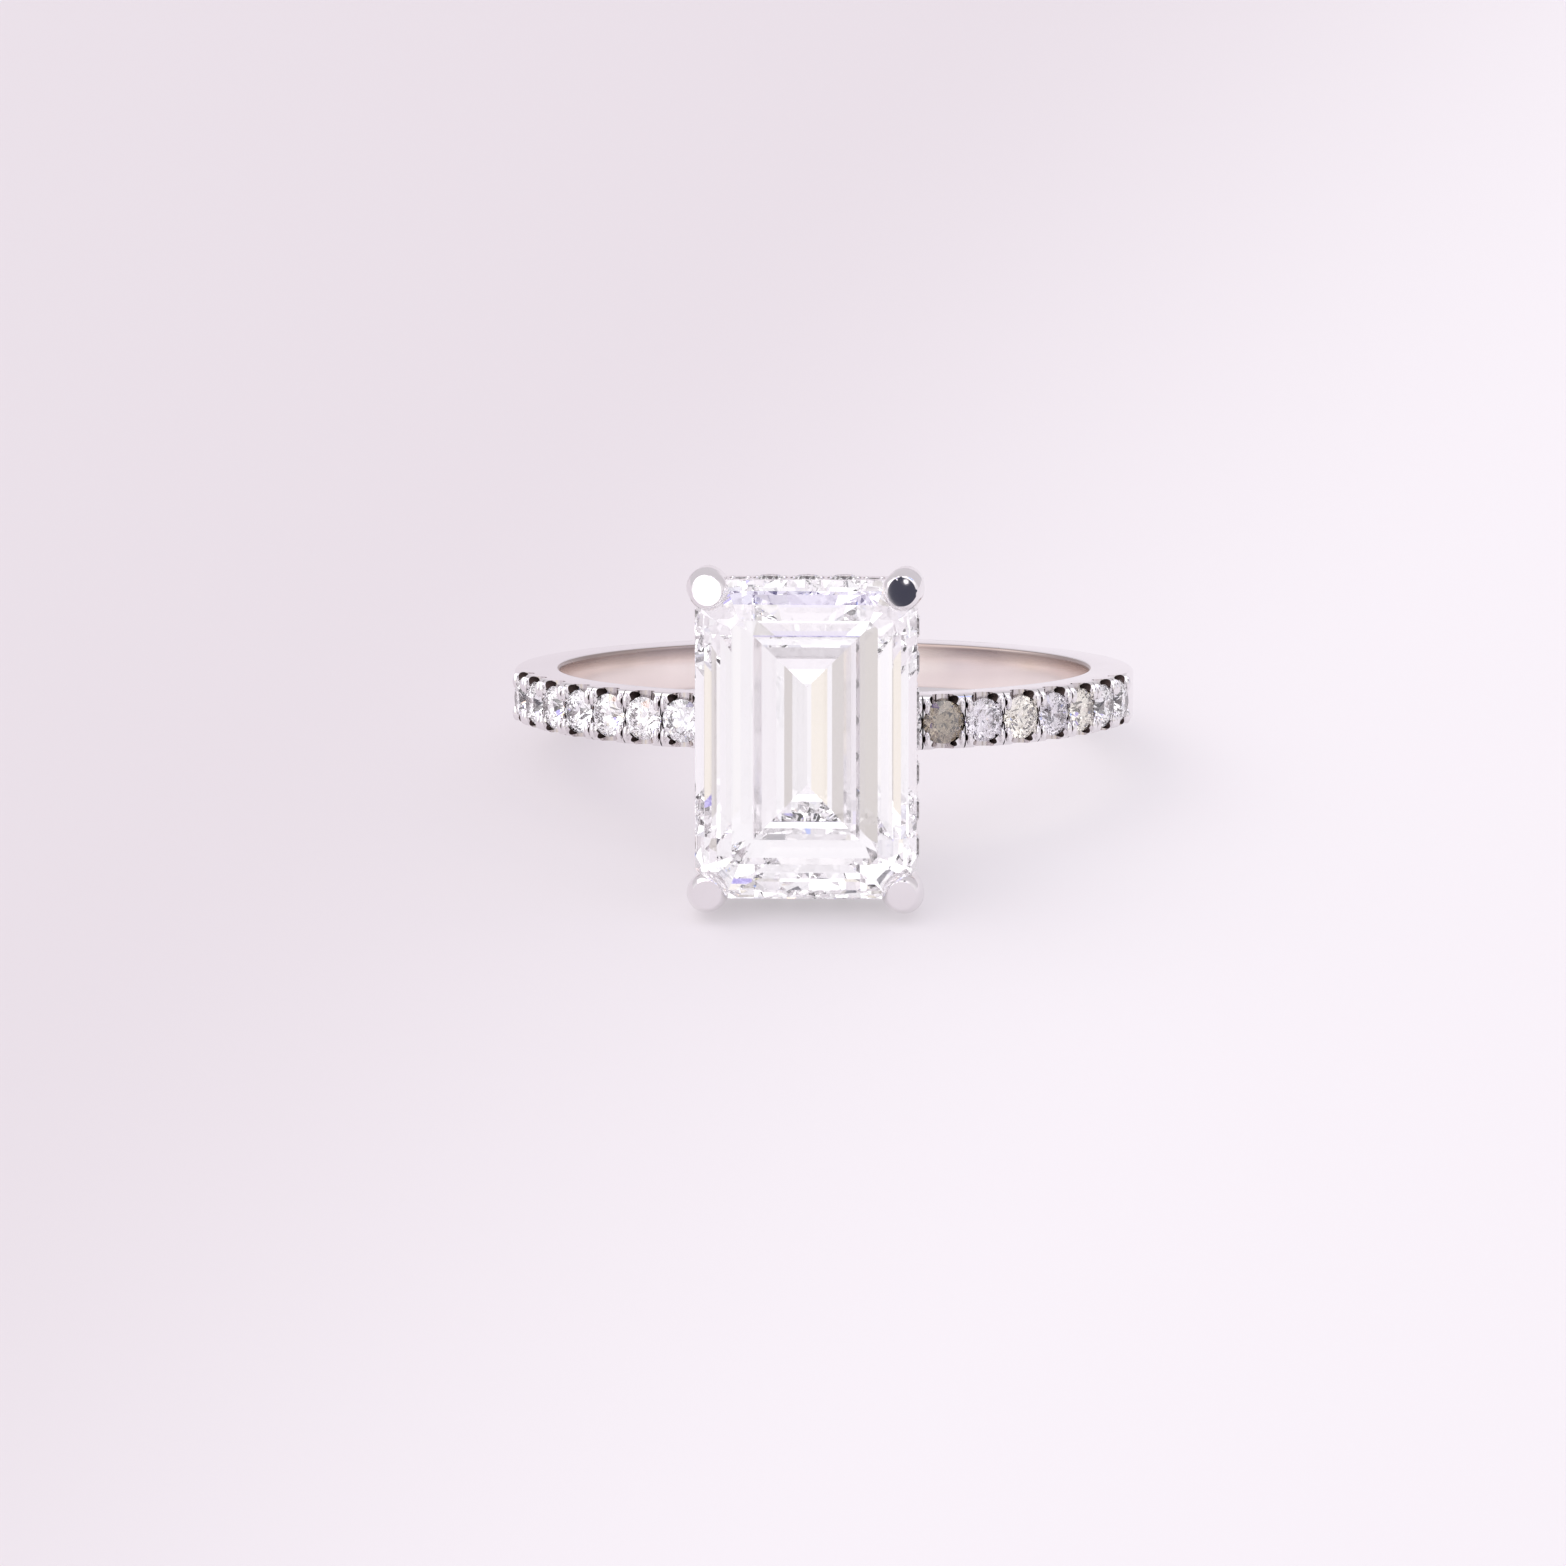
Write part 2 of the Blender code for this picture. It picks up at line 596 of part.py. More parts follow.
def build_basket():
    """The base rail, saddled on the band, and the four claws, notched for the stone and for both rails."""
    head = outward_frame(0, GIRDLE_RADIUS)
    saddle = group_of_cutters("saddle")
    room_width = BAND_WIDTH_AT_HEAD + 2 * FIT
    band_room = cylinder_mesh("band_room", BAND_RADIUS + FIT, room_width, 4 * BAND_STEPS)
    add_cutter("band_room", band_room, Matrix.Identity(4), saddle)
    rail = new_object("base_rail", base_rail_mesh("base_rail"), PARTS, head, WHITE_GOLD, RING)
    boolean(rail, "DIFFERENCE", saddle)
    notches = group_of_cutters("claw_notches")
    add_cutter("stone_notch", step_cut_mesh("stone_notch", FIT), head, notches)
    add_cutter("halo_rail_notch", halo_rail_mesh("halo_rail_notch", FIT), head, notches)
    add_cutter("base_rail_notch", base_rail_mesh("base_rail_notch", FIT), head, notches)
    for name, sign_x, sign_y in (
        ("claw_upper_right", 1, 1),
        ("claw_upper_left", -1, 1),
        ("claw_lower_left", -1, -1),
        ("claw_lower_right", 1, -1),
    ):
        claw = new_object(name, claw_mesh(name, sign_x, sign_y), PARTS, head, WHITE_GOLD, RING)
        boolean(claw, "DIFFERENCE", notches)


def world_points():
    """Every point of the finished parts, as the viewport evaluates them."""
    bpy.context.view_layer.update()
    graph = bpy.context.evaluated_depsgraph_get()
    points = []
    for obj in PARTS.objects:
        evaluated = obj.evaluated_get(graph)
        mesh = evaluated.to_mesh()
        points += [evaluated.matrix_world @ v.co for v in mesh.vertices]
        evaluated.to_mesh_clear()
    return points


def resting_tilt(points):
    """The turn about X that brings the ring to rest, in radians.

    Seen along X, one edge of the ring's lower hull lies under its middle: from a claw to the band's back.
    """
    outline = sorted({(round(p.y / MM, 4), round(p.z / MM, 4)) for p in points})
    hull = []
    for point in outline:
        while len(hull) > 1:
            (y0, z0), (y1, z1) = hull[-2:]
            if (y1 - y0) * (point[1] - z0) - (z1 - z0) * (point[0] - y0) > 0:
                break
            hull.pop()
        hull.append(point)
    front, back = next((a, b) for a, b in zip(hull, hull[1:]) if a[0] <= 0 <= b[0])
    return -math.atan2(back[1] - front[1], back[0] - front[0])


def lay_down():
    """Turns and moves the whole ring so that it rests on z = 0, its box centred over the origin."""
    RING.rotation_euler.x = resting_tilt(world_points())
    points = world_points()
    low = Vector([min(p[k] for p in points) for k in range(3)])
    high = Vector([max(p[k] for p in points) for k in range(3)])
    RING.location = (-(low.x + high.x) / 2, -(low.y + high.y) / 2, -low.z)
    bpy.context.view_layer.update()


def shade():
    """Metal is smooth up to a sharp edge. Stones keep flat facets."""
    for obj in PARTS.objects:
        if obj.active_material is WHITE_GOLD:
            obj.data.shade_smooth()
            obj.data.set_sharp_from_angle(angle=math.radians(35))


for old in list(bpy.data.objects):
    bpy.data.objects.remove(old)
PARTS = new_collection("engagement_ring")
CUTTERS = new_collection("cutters")
CUTTERS.hide_render = True
RING = bpy.data.objects.new("ring_pose", None)
PARTS.objects.link(RING)

WHITE_GOLD = new_material("white_gold", (0.80, 0.78, 0.77), 0.12, 1.0)
CENTRE_DIAMOND = new_material("centre_diamond", (0.96, 0.96, 0.98), 0.0, 0.0, 1.0)
SMALL_DIAMOND = new_material("small_diamond", (0.92, 0.92, 0.93), 0.0, 0.0, 1.0)

build_band()
build_shoulder_stones()
build_centre_stone()
build_halo()
build_basket()
shade()
PARTS.objects.unlink(RING)
bpy.context.scene.collection.objects.link(RING)
lay_down()
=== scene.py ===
"""Looks of an engagement ring: a step-cut centre stone in a claw basket over a hidden halo.

The ring's own frame, in metres: X across the band, -Y from the finger to the centre stone,
Z along the finger.
"""

import json
import logging
from collections.abc import Iterator, Sequence
from dataclasses import dataclass, field
from enum import Enum
from math import asin, copysign, cos, hypot, pi, radians, sin, sqrt, tan

import bmesh
import bpy
from bpy.types import Mesh, Node, NodeSocket, NodeTree, Object, ShaderNodeTree
from mathutils import Matrix, Vector


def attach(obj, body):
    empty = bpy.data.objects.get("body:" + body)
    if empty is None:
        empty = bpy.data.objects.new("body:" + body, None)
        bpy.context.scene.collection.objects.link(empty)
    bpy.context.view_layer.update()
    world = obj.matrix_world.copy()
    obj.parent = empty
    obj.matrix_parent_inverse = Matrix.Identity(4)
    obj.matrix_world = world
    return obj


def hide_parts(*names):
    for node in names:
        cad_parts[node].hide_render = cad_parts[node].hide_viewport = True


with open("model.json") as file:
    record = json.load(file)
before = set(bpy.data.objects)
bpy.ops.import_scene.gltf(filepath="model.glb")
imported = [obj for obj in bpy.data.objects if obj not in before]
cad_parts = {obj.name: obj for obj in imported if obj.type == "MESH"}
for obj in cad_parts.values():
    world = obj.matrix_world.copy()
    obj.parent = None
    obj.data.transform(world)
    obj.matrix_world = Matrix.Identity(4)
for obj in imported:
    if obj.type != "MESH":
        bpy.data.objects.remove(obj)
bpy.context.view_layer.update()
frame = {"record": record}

MM = 0.001
WELD = 0.0002 * MM
LOG = logging.getLogger("ring")
Colour = tuple[float, float, float]
Placed = tuple[Mesh, Matrix]
Line = Sequence[tuple[Vector, float]]
HERE = Matrix.Identity(4)
QUADRANTS = ((1, 1), (-1, 1), (-1, -1), (1, -1))


# ---- the bench: how meshes are made


class Cut(Enum):
    """What a row of tools does to a blank."""

    AWAY = "DIFFERENCE"
    ON = "UNION"
    TRIM = "INTERSECT"


def stood(name: str, data: bpy.types.ID) -> Object:
    """Makes an object of some data, in the scene."""
    obj = bpy.data.objects.new(name, data)
    bpy.context.scene.collection.objects.link(obj)
    return obj


def mesh_from(work: bmesh.types.BMesh, name: str) -> Mesh:
    """Turns a bmesh into a named mesh.

    Args:
        work: the bmesh, which is freed.
        name: the mesh's name.

    Returns:
        The new mesh.
    """
    mesh = bpy.data.meshes.new(name)
    work.to_mesh(mesh)
    work.free()
    return mesh


def turned(
    name: str, profile: Sequence[tuple[float, float]], steps: int, closed: bool = False
) -> Mesh:
    """Turns a profile once round Z.

    Args:
        name: the mesh's name.
        profile: (radius, height) points. Where radius is 0 the surface closes on the axis.
        steps: facets round the turn.
        closed: whether the profile's last point joins its first, as on a ring.

    Returns:
        A closed mesh with outward normals.
    """
    work = bmesh.new()
    rings = []
    for radius, height in profile:
        if radius == 0:
            rings.append([work.verts.new((0, 0, height))] * steps)
        else:
            angles = (2 * pi * i / steps for i in range(steps))
            flat = [(radius * cos(a), radius * sin(a)) for a in angles]
            rings.append([work.verts.new((x, y, height)) for x, y in flat])
    pairs = list(zip(rings, rings[1:])) + ([(rings[-1], rings[0])] if closed else [])
    for upper, lower in pairs:
        for i in range(steps):
            j = (i + 1) % steps
            work.faces.new(list(dict.fromkeys((upper[i], lower[i], lower[j], upper[j]))))
    bmesh.ops.recalc_face_normals(work, faces=work.faces)
    return mesh_from(work, name)


def baked(obj: Object, name: str) -> Mesh:
    """Reads an object's finished mesh and removes the object.

    Args:
        obj: a curve, or a mesh object with modifiers.
        name: the mesh's name.

    Returns:
        Its evaluated mesh, welded, in world coordinates.
    """
    bpy.context.view_layer.update()
    graph = bpy.context.evaluated_depsgraph_get()
    mesh = bpy.data.meshes.new_from_object(obj.evaluated_get(graph))
    mesh.name = name
    mesh.transform(obj.matrix_world)
    work = bmesh.new()
    work.from_mesh(mesh)
    bmesh.ops.remove_doubles(work, verts=work.verts, dist=WELD)
    bmesh.ops.recalc_face_normals(work, faces=work.faces)
    work.to_mesh(mesh)
    work.free()
    bpy.data.objects.remove(obj)
    return mesh


def drawn(curve: bpy.types.Curve, lines: Sequence[Line], closed: bool) -> Mesh:
    """Draws lines with a curve's thickness.

    Args:
        curve: the curve.
        lines: rows of (place, radius) points.
        closed: whether each line joins its own start.

    Returns:
        A closed mesh.
    """
    for line in lines:
        spline = curve.splines.new("POLY")
        spline.points.add(len(line) - 1)
        for point, (place, radius) in zip(spline.points, line):
            point.co = (*place, 1)
            point.radius = radius
        spline.use_cyclic_u = closed
    return baked(stood(curve.name, curve), curve.name)


def wire(name: str, line: Line, sides: int, closed: bool = False) -> Mesh:
    """Bends a round wire.

    Args:
        name: the mesh's name.
        line: (place, radius) points on its middle line.
        sides: the curve's bevel resolution.
        closed: whether the wire joins its own start.

    Returns:
        A closed mesh.
    """
    curve = bpy.data.curves.new(name, "CURVE")
    curve.dimensions = "3D"
    curve.bevel_depth = 1.0
    curve.bevel_resolution = sides
    curve.use_fill_caps = not closed
    return drawn(curve, [line], closed)


def plate(name: str, outlines: Sequence[Sequence[tuple[float, float]]], thickness: float) -> Mesh:
    """Saws a flat plate, its middle in z = 0.

    Args:
        name: the mesh's name.
        outlines: the outer outline, then its openings.
        thickness: the plate's thickness.

    Returns:
        A closed mesh.
    """
    curve = bpy.data.curves.new(name, "CURVE")
    curve.dimensions = "2D"
    curve.fill_mode = "BOTH"
    curve.extrude = thickness / 2
    return drawn(curve, [[(Vector((*point, 0)), 1.0) for point in outline] for outline in outlines], True)


def worked(blank: Mesh, steps: Sequence[tuple[Cut, Sequence[Placed]]]) -> Mesh:
    """Works a blank with rows of tools, one row after another.

    Args:
        blank: the mesh to start from.
        steps: what each row does, and its tools with their places.

    Returns:
        The worked mesh.
    """
    obj = stood(blank.name, blank)
    tools, racks = [], []
    for cut, row in steps:
        rack = bpy.data.collections.new("rack")
        bpy.context.scene.collection.children.link(rack)
        racks.append(rack)
        for mesh, place in row:
            tool = bpy.data.objects.new("tool", mesh)
            rack.objects.link(tool)
            tool.matrix_world = place
            tools.append(tool)
        modifier = obj.modifiers.new("work", "BOOLEAN")
        modifier.operation = cut.value
        modifier.operand_type = "COLLECTION"
        modifier.collection = rack
        modifier.solver = "MANIFOLD"
        modifier.material_mode = "TRANSFER"
    mesh = baked(obj, blank.name)
    for tool in tools:
        bpy.data.objects.remove(tool)
    for rack in racks:
        bpy.data.collections.remove(rack)
    return mesh


# ---- grinding stones


def grind(work: bmesh.types.BMesh, normal: Vector, distance: float) -> None:
    """Grinds one facet: takes away what lies beyond a plane and closes the cut.

    Args:
        work: the stone so far.
        normal: the facet's outward normal.
        distance: the plane's distance from the origin along the normal.
    """
    cut = bmesh.ops.bisect_plane(
        work,
        geom=[*work.verts, *work.edges, *work.faces],
        dist=1e-5 * MM,
        plane_co=normal * distance,
        plane_no=normal,
        clear_outer=True,
    )
    rim = [e for e in cut["geom_cut"] if isinstance(e, bmesh.types.BMEdge)]
    if rim:
        bmesh.ops.contextual_create(work, geom=rim)


def sloped(direction_deg: float, slope_deg: float, up: int = 1) -> Vector:
    """Gives the normal of a facet that faces a direction and slopes that far from the girdle plane."""
    direction, slope = radians(direction_deg), radians(slope_deg)
    flat = Vector((cos(direction), sin(direction), 0)) * sin(slope)
    return flat + Vector((0, 0, up * cos(slope)))


@dataclass(frozen=True)
class Brilliant:
    """The cut of a small round stone, its sizes as shares of the diameter."""

    diameter: float
    crown: float = 0.150
    table: float = 0.56
    belt: float = 0.030
    crown_slope: float = 34.5
    star_slope: float = 21.5
    upper_slope: float = 40.0
    pavilion_slope: float = 40.9
    lower_slope: float = 42.2

    def mesh(self, name: str, grow: float = 0.0) -> Mesh:
        """Cuts the stone with the middle of its girdle in z = 0.

        Args:
            name: the mesh's name.
            grow: how far every facet moves outwards.

        Returns:
            The stone's mesh.
        """
        radius, belt = self.diameter / 2, self.belt * self.diameter / 2
        inner = radius * cos(pi / 16)
        work = bmesh.new()
        bmesh.ops.create_cube(work, size=2 * self.diameter)
        for i in range(32):
            grind(work, sloped(i * 11.25, 90), radius * cos(pi / 32) + grow)
        height = belt + self.crown * self.diameter
        grind(work, Vector((0, 0, 1)), height + grow)
        table_edge = self.table * radius * cos(pi / 8)
        for i in range(8):
            at = 45 * i
            self._facet(work, at, self.crown_slope, radius, belt, 1, grow)
            self._facet(work, at + 22.5, self.star_slope, table_edge, height, 1, grow)
            self._facet(work, at, self.pavilion_slope, radius, belt, -1, grow)
        for i in range(16):
            at = 11.25 + 22.5 * i
            self._facet(work, at, self.upper_slope, inner, belt, 1, grow)
            self._facet(work, at, self.lower_slope, inner, belt, -1, grow)
        return mesh_from(work, name)

    @staticmethod
    def _facet(
        work: bmesh.types.BMesh, at: float, slope: float, reach: float, height: float, up: int, grow: float
    ) -> None:
        """Grinds a facet through the line at that reach and height in that direction."""
        normal = sloped(at, slope, up)
        edge = sloped(at, 90) * reach + Vector((0, 0, up * height))
        grind(work, normal, edge.dot(normal) + grow)


@dataclass(frozen=True)
class StepCut:
    """The cut of the centre stone: a rectangle with cut corners and rows of steps."""

    length: float = 9.60 * MM
    width: float = 6.65 * MM
    corner: float = 0.90 * MM
    girdle: float = 0.20 * MM
    crown_steps: tuple[tuple[float, float], ...] = ((47.0, 0.30 * MM), (39.0, 0.38 * MM), (30.0, 0.46 * MM))
    pavilion_steps: tuple[tuple[float, float], ...] = ((56.0, 0.74 * MM), (46.0, 0.98 * MM))
    keel_slope: float = 37.0

    @property
    def crown_height(self) -> float:
        """Height of the table over the girdle's upper edge."""
        return sum(run * tan(radians(slope)) for slope, run in self.crown_steps)

    @property
    def pavilion_depth(self) -> float:
        """Depth of the keel under the girdle's lower edge."""
        upper = sum(run * tan(radians(slope)) for slope, run in self.pavilion_steps)
        left = self.width / 2 - sum(run for _, run in self.pavilion_steps)
        return upper + left * tan(radians(self.keel_slope))

    def sides(self) -> list[tuple[float, float]]:
        """Gives (direction, distance from the middle) of the eight sides."""
        half_x, half_y = self.width / 2, self.length / 2
        reach = (half_x + half_y - self.corner) / sqrt(2)
        straight = [(0.0, half_x), (90.0, half_y), (180.0, half_x), (270.0, half_y)]
        return straight + [(45.0 + 90 * i, reach) for i in range(4)]

    def mesh(self, name: str, grow: float = 0.0) -> Mesh:
        """Cuts the stone with its girdle's lower edge in z = 0 and its length along Y.

        Args:
            name: the mesh's name.
            grow: how far every facet moves outwards.

        Returns:
            The stone's mesh.
        """
        work = bmesh.new()
        bmesh.ops.create_cube(work, size=2 * self.length)
        for direction, reach in self.sides():
            grind(work, sloped(direction, 90), reach + grow)
        grind(work, Vector((0, 0, 1)), self.girdle + self.crown_height + grow)
        pavilion = (*self.pavilion_steps, (self.keel_slope, self.width))
        rows = ((1, self.girdle, self.crown_steps), (-1, 0.0, pavilion))
        for up, level, steps in rows:
            inset, height = 0.0, level
            for slope, run in steps:
                for direction, reach in self.sides():
                    normal = sloped(direction, slope, up)
                    edge = Vector((0, 0, up * height)) + sloped(direction, 90) * (reach - inset)
                    grind(work, normal, edge.dot(normal) + grow)
                inset += run
                height += run * tan(radians(slope))
        return mesh_from(work, name)


# ---- finishes


def feed(node: Node, values: dict[str | int, object]) -> Node:
    """Sets a node's inputs.

    Args:
        node: the node.
        values: for each input, a value, or the output socket that it takes.

    Returns:
        The same node.
    """
    for name, value in values.items():
        if isinstance(value, NodeSocket):
            node.id_data.links.new(value, node.inputs[name])
        else:
            node.inputs[name].default_value = value
    return node


def add(
    tree: NodeTree, kind: str, values: dict[str | int, object] | None = None, **settings: object
) -> Node:
    """Adds a node to a tree.

    Args:
        tree: the tree.
        kind: the node's type, without its first word.
        values: its inputs, as feed takes them.
        settings: its own settings.

    Returns:
        The node.
    """
    node = tree.nodes.new(f"ShaderNode{kind}")
    for name, value in settings.items():
        setattr(node, name, value)
    return feed(node, values or {})


def new_group(name: str, takes: dict[str, float | Colour], gives: Sequence[str]) -> ShaderNodeTree:
    """Makes an empty node group.

    Args:
        name: the group's name.
        takes: its inputs with their defaults.
        gives: its outputs. Colour is a colour, any other is a number.

    Returns:
        The group.
    """
    group = bpy.data.node_groups.new(name, "ShaderNodeTree")
    for label, value in takes.items():
        number = isinstance(value, float)
        kind = "NodeSocketFloat" if number else "NodeSocketColor"
        socket = group.interface.new_socket(name=label, in_out="INPUT", socket_type=kind)
        socket.default_value = value if number else (*value, 1)
    for label in gives:
        kind = "NodeSocketColor" if label == "Colour" else "NodeSocketFloat"
        group.interface.new_socket(name=label, in_out="OUTPUT", socket_type=kind)
    return group


class Effect(Enum):
    """The shared surface effects."""

    POLISH = "polish_marks"
    TINT = "stone_tint"


def polish_group() -> ShaderNodeTree:
    """Builds the polishing marks: fine wheel lines and soft patches of wear, with painted shade that darkens
    the upper rim by height along Z.

    Returns:
        A group with Colour, Roughness and Height outputs.
    """
    line_scale, patch_scale, patch_edges = (900, 900, 9000), 420.0, (0.38, 0.72)
    rim_shade_edges, rough_by_wear = (0.25 * MM, 0.60 * MM), 0.12
    takes = {"Base": (0.8, 0.8, 0.8), "Worn": (0.8, 0.75, 0.7), "Gloss": 0.08, "Wear": 0.3, "Rim Shade": 0.0}
    group = new_group(Effect.POLISH.value, takes, ("Colour", "Roughness", "Height"))
    given = group.nodes.new("NodeGroupInput").outputs
    place = add(group, "TexCoord").outputs["Object"]
    along = add(group, "Mapping", {"Vector": place, "Scale": line_scale}).outputs["Vector"]
    lines = add(group, "TexNoise", {"Vector": along, "Scale": 1.0, "Detail": 3.0}).outputs["Fac"]
    patches = add(group, "TexNoise", {"Vector": place, "Scale": patch_scale, "Detail": 2.0}).outputs["Fac"]
    edges = {"From Min": patch_edges[0], "From Max": patch_edges[1]}
    soft = add(group, "MapRange", {"Value": patches, **edges}).outputs["Result"]
    # Painted shade: the colour darkens towards the upper rim, by height along Z, as far as the rim input
    # allows.
    height = add(group, "SeparateXYZ", {"Vector": place}).outputs["Z"]
    edges = {"From Min": rim_shade_edges[0], "From Max": rim_shade_edges[1], "To Max": given["Rim Shade"]}
    rim = add(group, "MapRange", {"Value": height, **edges}).outputs["Result"]
    sums = {0: soft, 1: given["Wear"], 2: rim}
    amount = add(group, "Math", sums, operation="MULTIPLY_ADD", use_clamp=True).outputs["Value"]
    mixed = {"Factor": amount, "A": given["Base"], "B": given["Worn"]}
    colour = add(group, "Mix", mixed, data_type="RGBA").outputs["Result"]
    sums = {0: amount, 1: rough_by_wear, 2: given["Gloss"]}
    rough = add(group, "Math", sums, operation="MULTIPLY_ADD").outputs["Value"]
    feed(group.nodes.new("NodeGroupOutput"), {"Colour": colour, "Roughness": rough, "Height": lines})
    return group


def tint_group() -> ShaderNodeTree:
    """Builds the uneven tint of a stone: two close colours in soft clouds.

    Returns:
        A group with a Colour output.
    """
    takes = {"Light": (1.0, 1.0, 1.0), "Deep": (0.9, 0.9, 0.9), "Scale": 700.0}
    group = new_group(Effect.TINT.value, takes, ("Colour",))
    given = group.nodes.new("NodeGroupInput").outputs
    place = add(group, "TexCoord").outputs["Object"]
    clouds = add(group, "TexNoise", {"Vector": place, "Scale": given["Scale"], "Detail": 2.0})
    mixed = {"Factor": clouds.outputs["Fac"], "A": given["Light"], "B": given["Deep"]}
    colour = add(group, "Mix", mixed, data_type="RGBA").outputs["Result"]
    feed(group.nodes.new("NodeGroupOutput"), {"Colour": colour})
    return group


def effect(kind: Effect) -> ShaderNodeTree:
    """Gives a shared effect's node group, which is built at its first use."""
    made = bpy.data.node_groups.get(kind.value)
    return made or {Effect.POLISH: polish_group, Effect.TINT: tint_group}[kind]()


def new_material(name: str) -> tuple[bpy.types.Material, Node]:
    """Makes a material and gives it with its shader."""
    made = bpy.data.materials.new(name)
    made.use_nodes = True
    return made, made.node_tree.nodes["Principled BSDF"]


@dataclass(frozen=True)
class MetalFinish:
    """A white metal's surface. One painted dark to stand for the shade in a deep recess has no metallic part.
    """

    name: str
    base: Colour
    worn: Colour
    gloss: float
    wear: float
    line_depth: float
    # How far painted shade darkens the upper rim; the second colour serves both wear patches and this shade.
    rim_shade: float = 0.0
    metallic: float = 1.0
    line_height: float = 0.002 * MM

    def material(self) -> bpy.types.Material:
        """Gives the finish's material, which is made at its first use."""
        found = bpy.data.materials.get(self.name)
        if found:
            return found
        made, shader = new_material(self.name)
        marks = add(
            made.node_tree,
            "Group",
            {
                "Base": (*self.base, 1),
                "Worn": (*self.worn, 1),
                "Gloss": self.gloss,
                "Wear": self.wear,
                "Rim Shade": self.rim_shade,
            },
            node_tree=effect(Effect.POLISH),
        ).outputs
        lines = {"Strength": self.line_depth, "Distance": self.line_height, "Height": marks["Height"]}
        bump = add(made.node_tree, "Bump", lines).outputs["Normal"]
        feed(shader, {"Metallic": self.metallic, "Specular IOR Level": 0.0, "Normal": bump})
        feed(shader, {"Base Color": marks["Colour"], "Roughness": marks["Roughness"]})
        return made


POLISHED = MetalFinish("white_gold_polished", (0.86, 0.84, 0.85), (0.80, 0.77, 0.78), 0.05, 0.5, 0.10)
# Scallops: a rougher cut finish with deeper tool lines, and a darker colour that is painted shade in these
# recesses.
SCALLOP_CUT_AND_SHADE = MetalFinish("white_gold_cut_and_painted_shade", (0.74, 0.70, 0.70), (0.52, 0.47, 0.47), 0.12, 0.9, 0.60)
# Seats and grooves: the dark colour is painted shade in these recesses; the roughness and tool lines are the
# cut's own.
RECESS_PAINTED_SHADE = MetalFinish("white_gold_recess_painted_shade", (0.30, 0.26, 0.26), (0.16, 0.13, 0.13), 0.20, 0.8, 0.30)
# Inside of the band: painted shade darkens its upper rim towards the dark brown second colour.
INSIDE = MetalFinish(
    "white_gold_inside", (0.93, 0.85, 0.81), (0.36, 0.29, 0.27), 0.16, 0.12, 0.25, rim_shade=0.9
)
# Painted shade: a near-black, non-metallic finish that stands for the shade inside the pockets beside the
# prongs.
POCKET_PAINTED_SHADE = MetalFinish(
    "white_gold_pocket_painted_shade", (0.100, 0.072, 0.068), (0.040, 0.028, 0.027), 0.45, 0.8, 0.30, metallic=0.0
)


class StoneColour(Enum):
    """Body colours of the stones: (light cloud, deep cloud)."""

    WHITE = ((1.0, 1.0, 1.0), (0.985, 0.985, 0.99))
    ICE = ((0.985, 0.99, 1.0), (0.95, 0.96, 0.985))
    LILAC = ((0.90, 0.88, 0.92), (0.66, 0.63, 0.68))
    STRAW = ((0.96, 0.94, 0.87), (0.86, 0.82, 0.70))
    CHAMPAGNE = ((0.52, 0.45, 0.34), (0.12, 0.09, 0.06))


@dataclass(frozen=True)
class StoneFinish:
    """A polished stone of one colour."""

    colour: StoneColour
    index: float = 2.417

    def material(self) -> bpy.types.Material:
        """Gives the colour's material, which is made at its first use."""
        name = f"diamond_{self.colour.name.lower()}"
        found = bpy.data.materials.get(name)
        if found:
            return found
        made, shader = new_material(name)
        feed(shader, {"Metallic": 0.0, "Roughness": 0.0, "IOR": self.index, "Transmission Weight": 1.0})
        clouds = {label: (*tone, 1) for label, tone in zip(("Light", "Deep"), self.colour.value)}
        tint = add(made.node_tree, "Group", clouds, node_tree=effect(Effect.TINT))
        feed(shader, {"Base Color": tint.outputs["Colour"]})
        return made


# ---- the ring


def outward(angle: float, radius: float) -> Matrix:
    """Gives the frame at an angle from the head: X along the band, Y along the finger, Z away from it."""
    away = Vector((sin(angle), -cos(angle), 0))
    along = Vector((cos(angle), sin(angle), 0))
    rotation = Matrix((along, (0, 0, 1), away)).transposed().to_4x4()
    return Matrix.Translation(away * radius) @ rotation


def shift(x: float, y: float, z: float = 0.0) -> Matrix:
    """Gives a plain move."""
    return Matrix.Translation((x, y, z))


def side_frame(quarter: int, place: float, reach: float, height: float) -> Matrix:
    """Gives, in the head's frame, the frame of a stone on one of a rail's four sides.

    Args:
        quarter: which side, in quarter turns.
        place: the place along the side.
        reach: the side's distance from the middle.
        height: the place along the head's axis.

    Returns:
        The frame, Z outwards.
    """
    angle = quarter * pi / 2
    away = Vector((cos(angle), sin(angle), 0))
    along = Vector((-sin(angle), cos(angle), 0))
    rotation = Matrix((along, (0, 0, 1), away)).transposed().to_4x4()
    return Matrix.Translation(away * reach + along * place + Vector((0, 0, height))) @ rotation


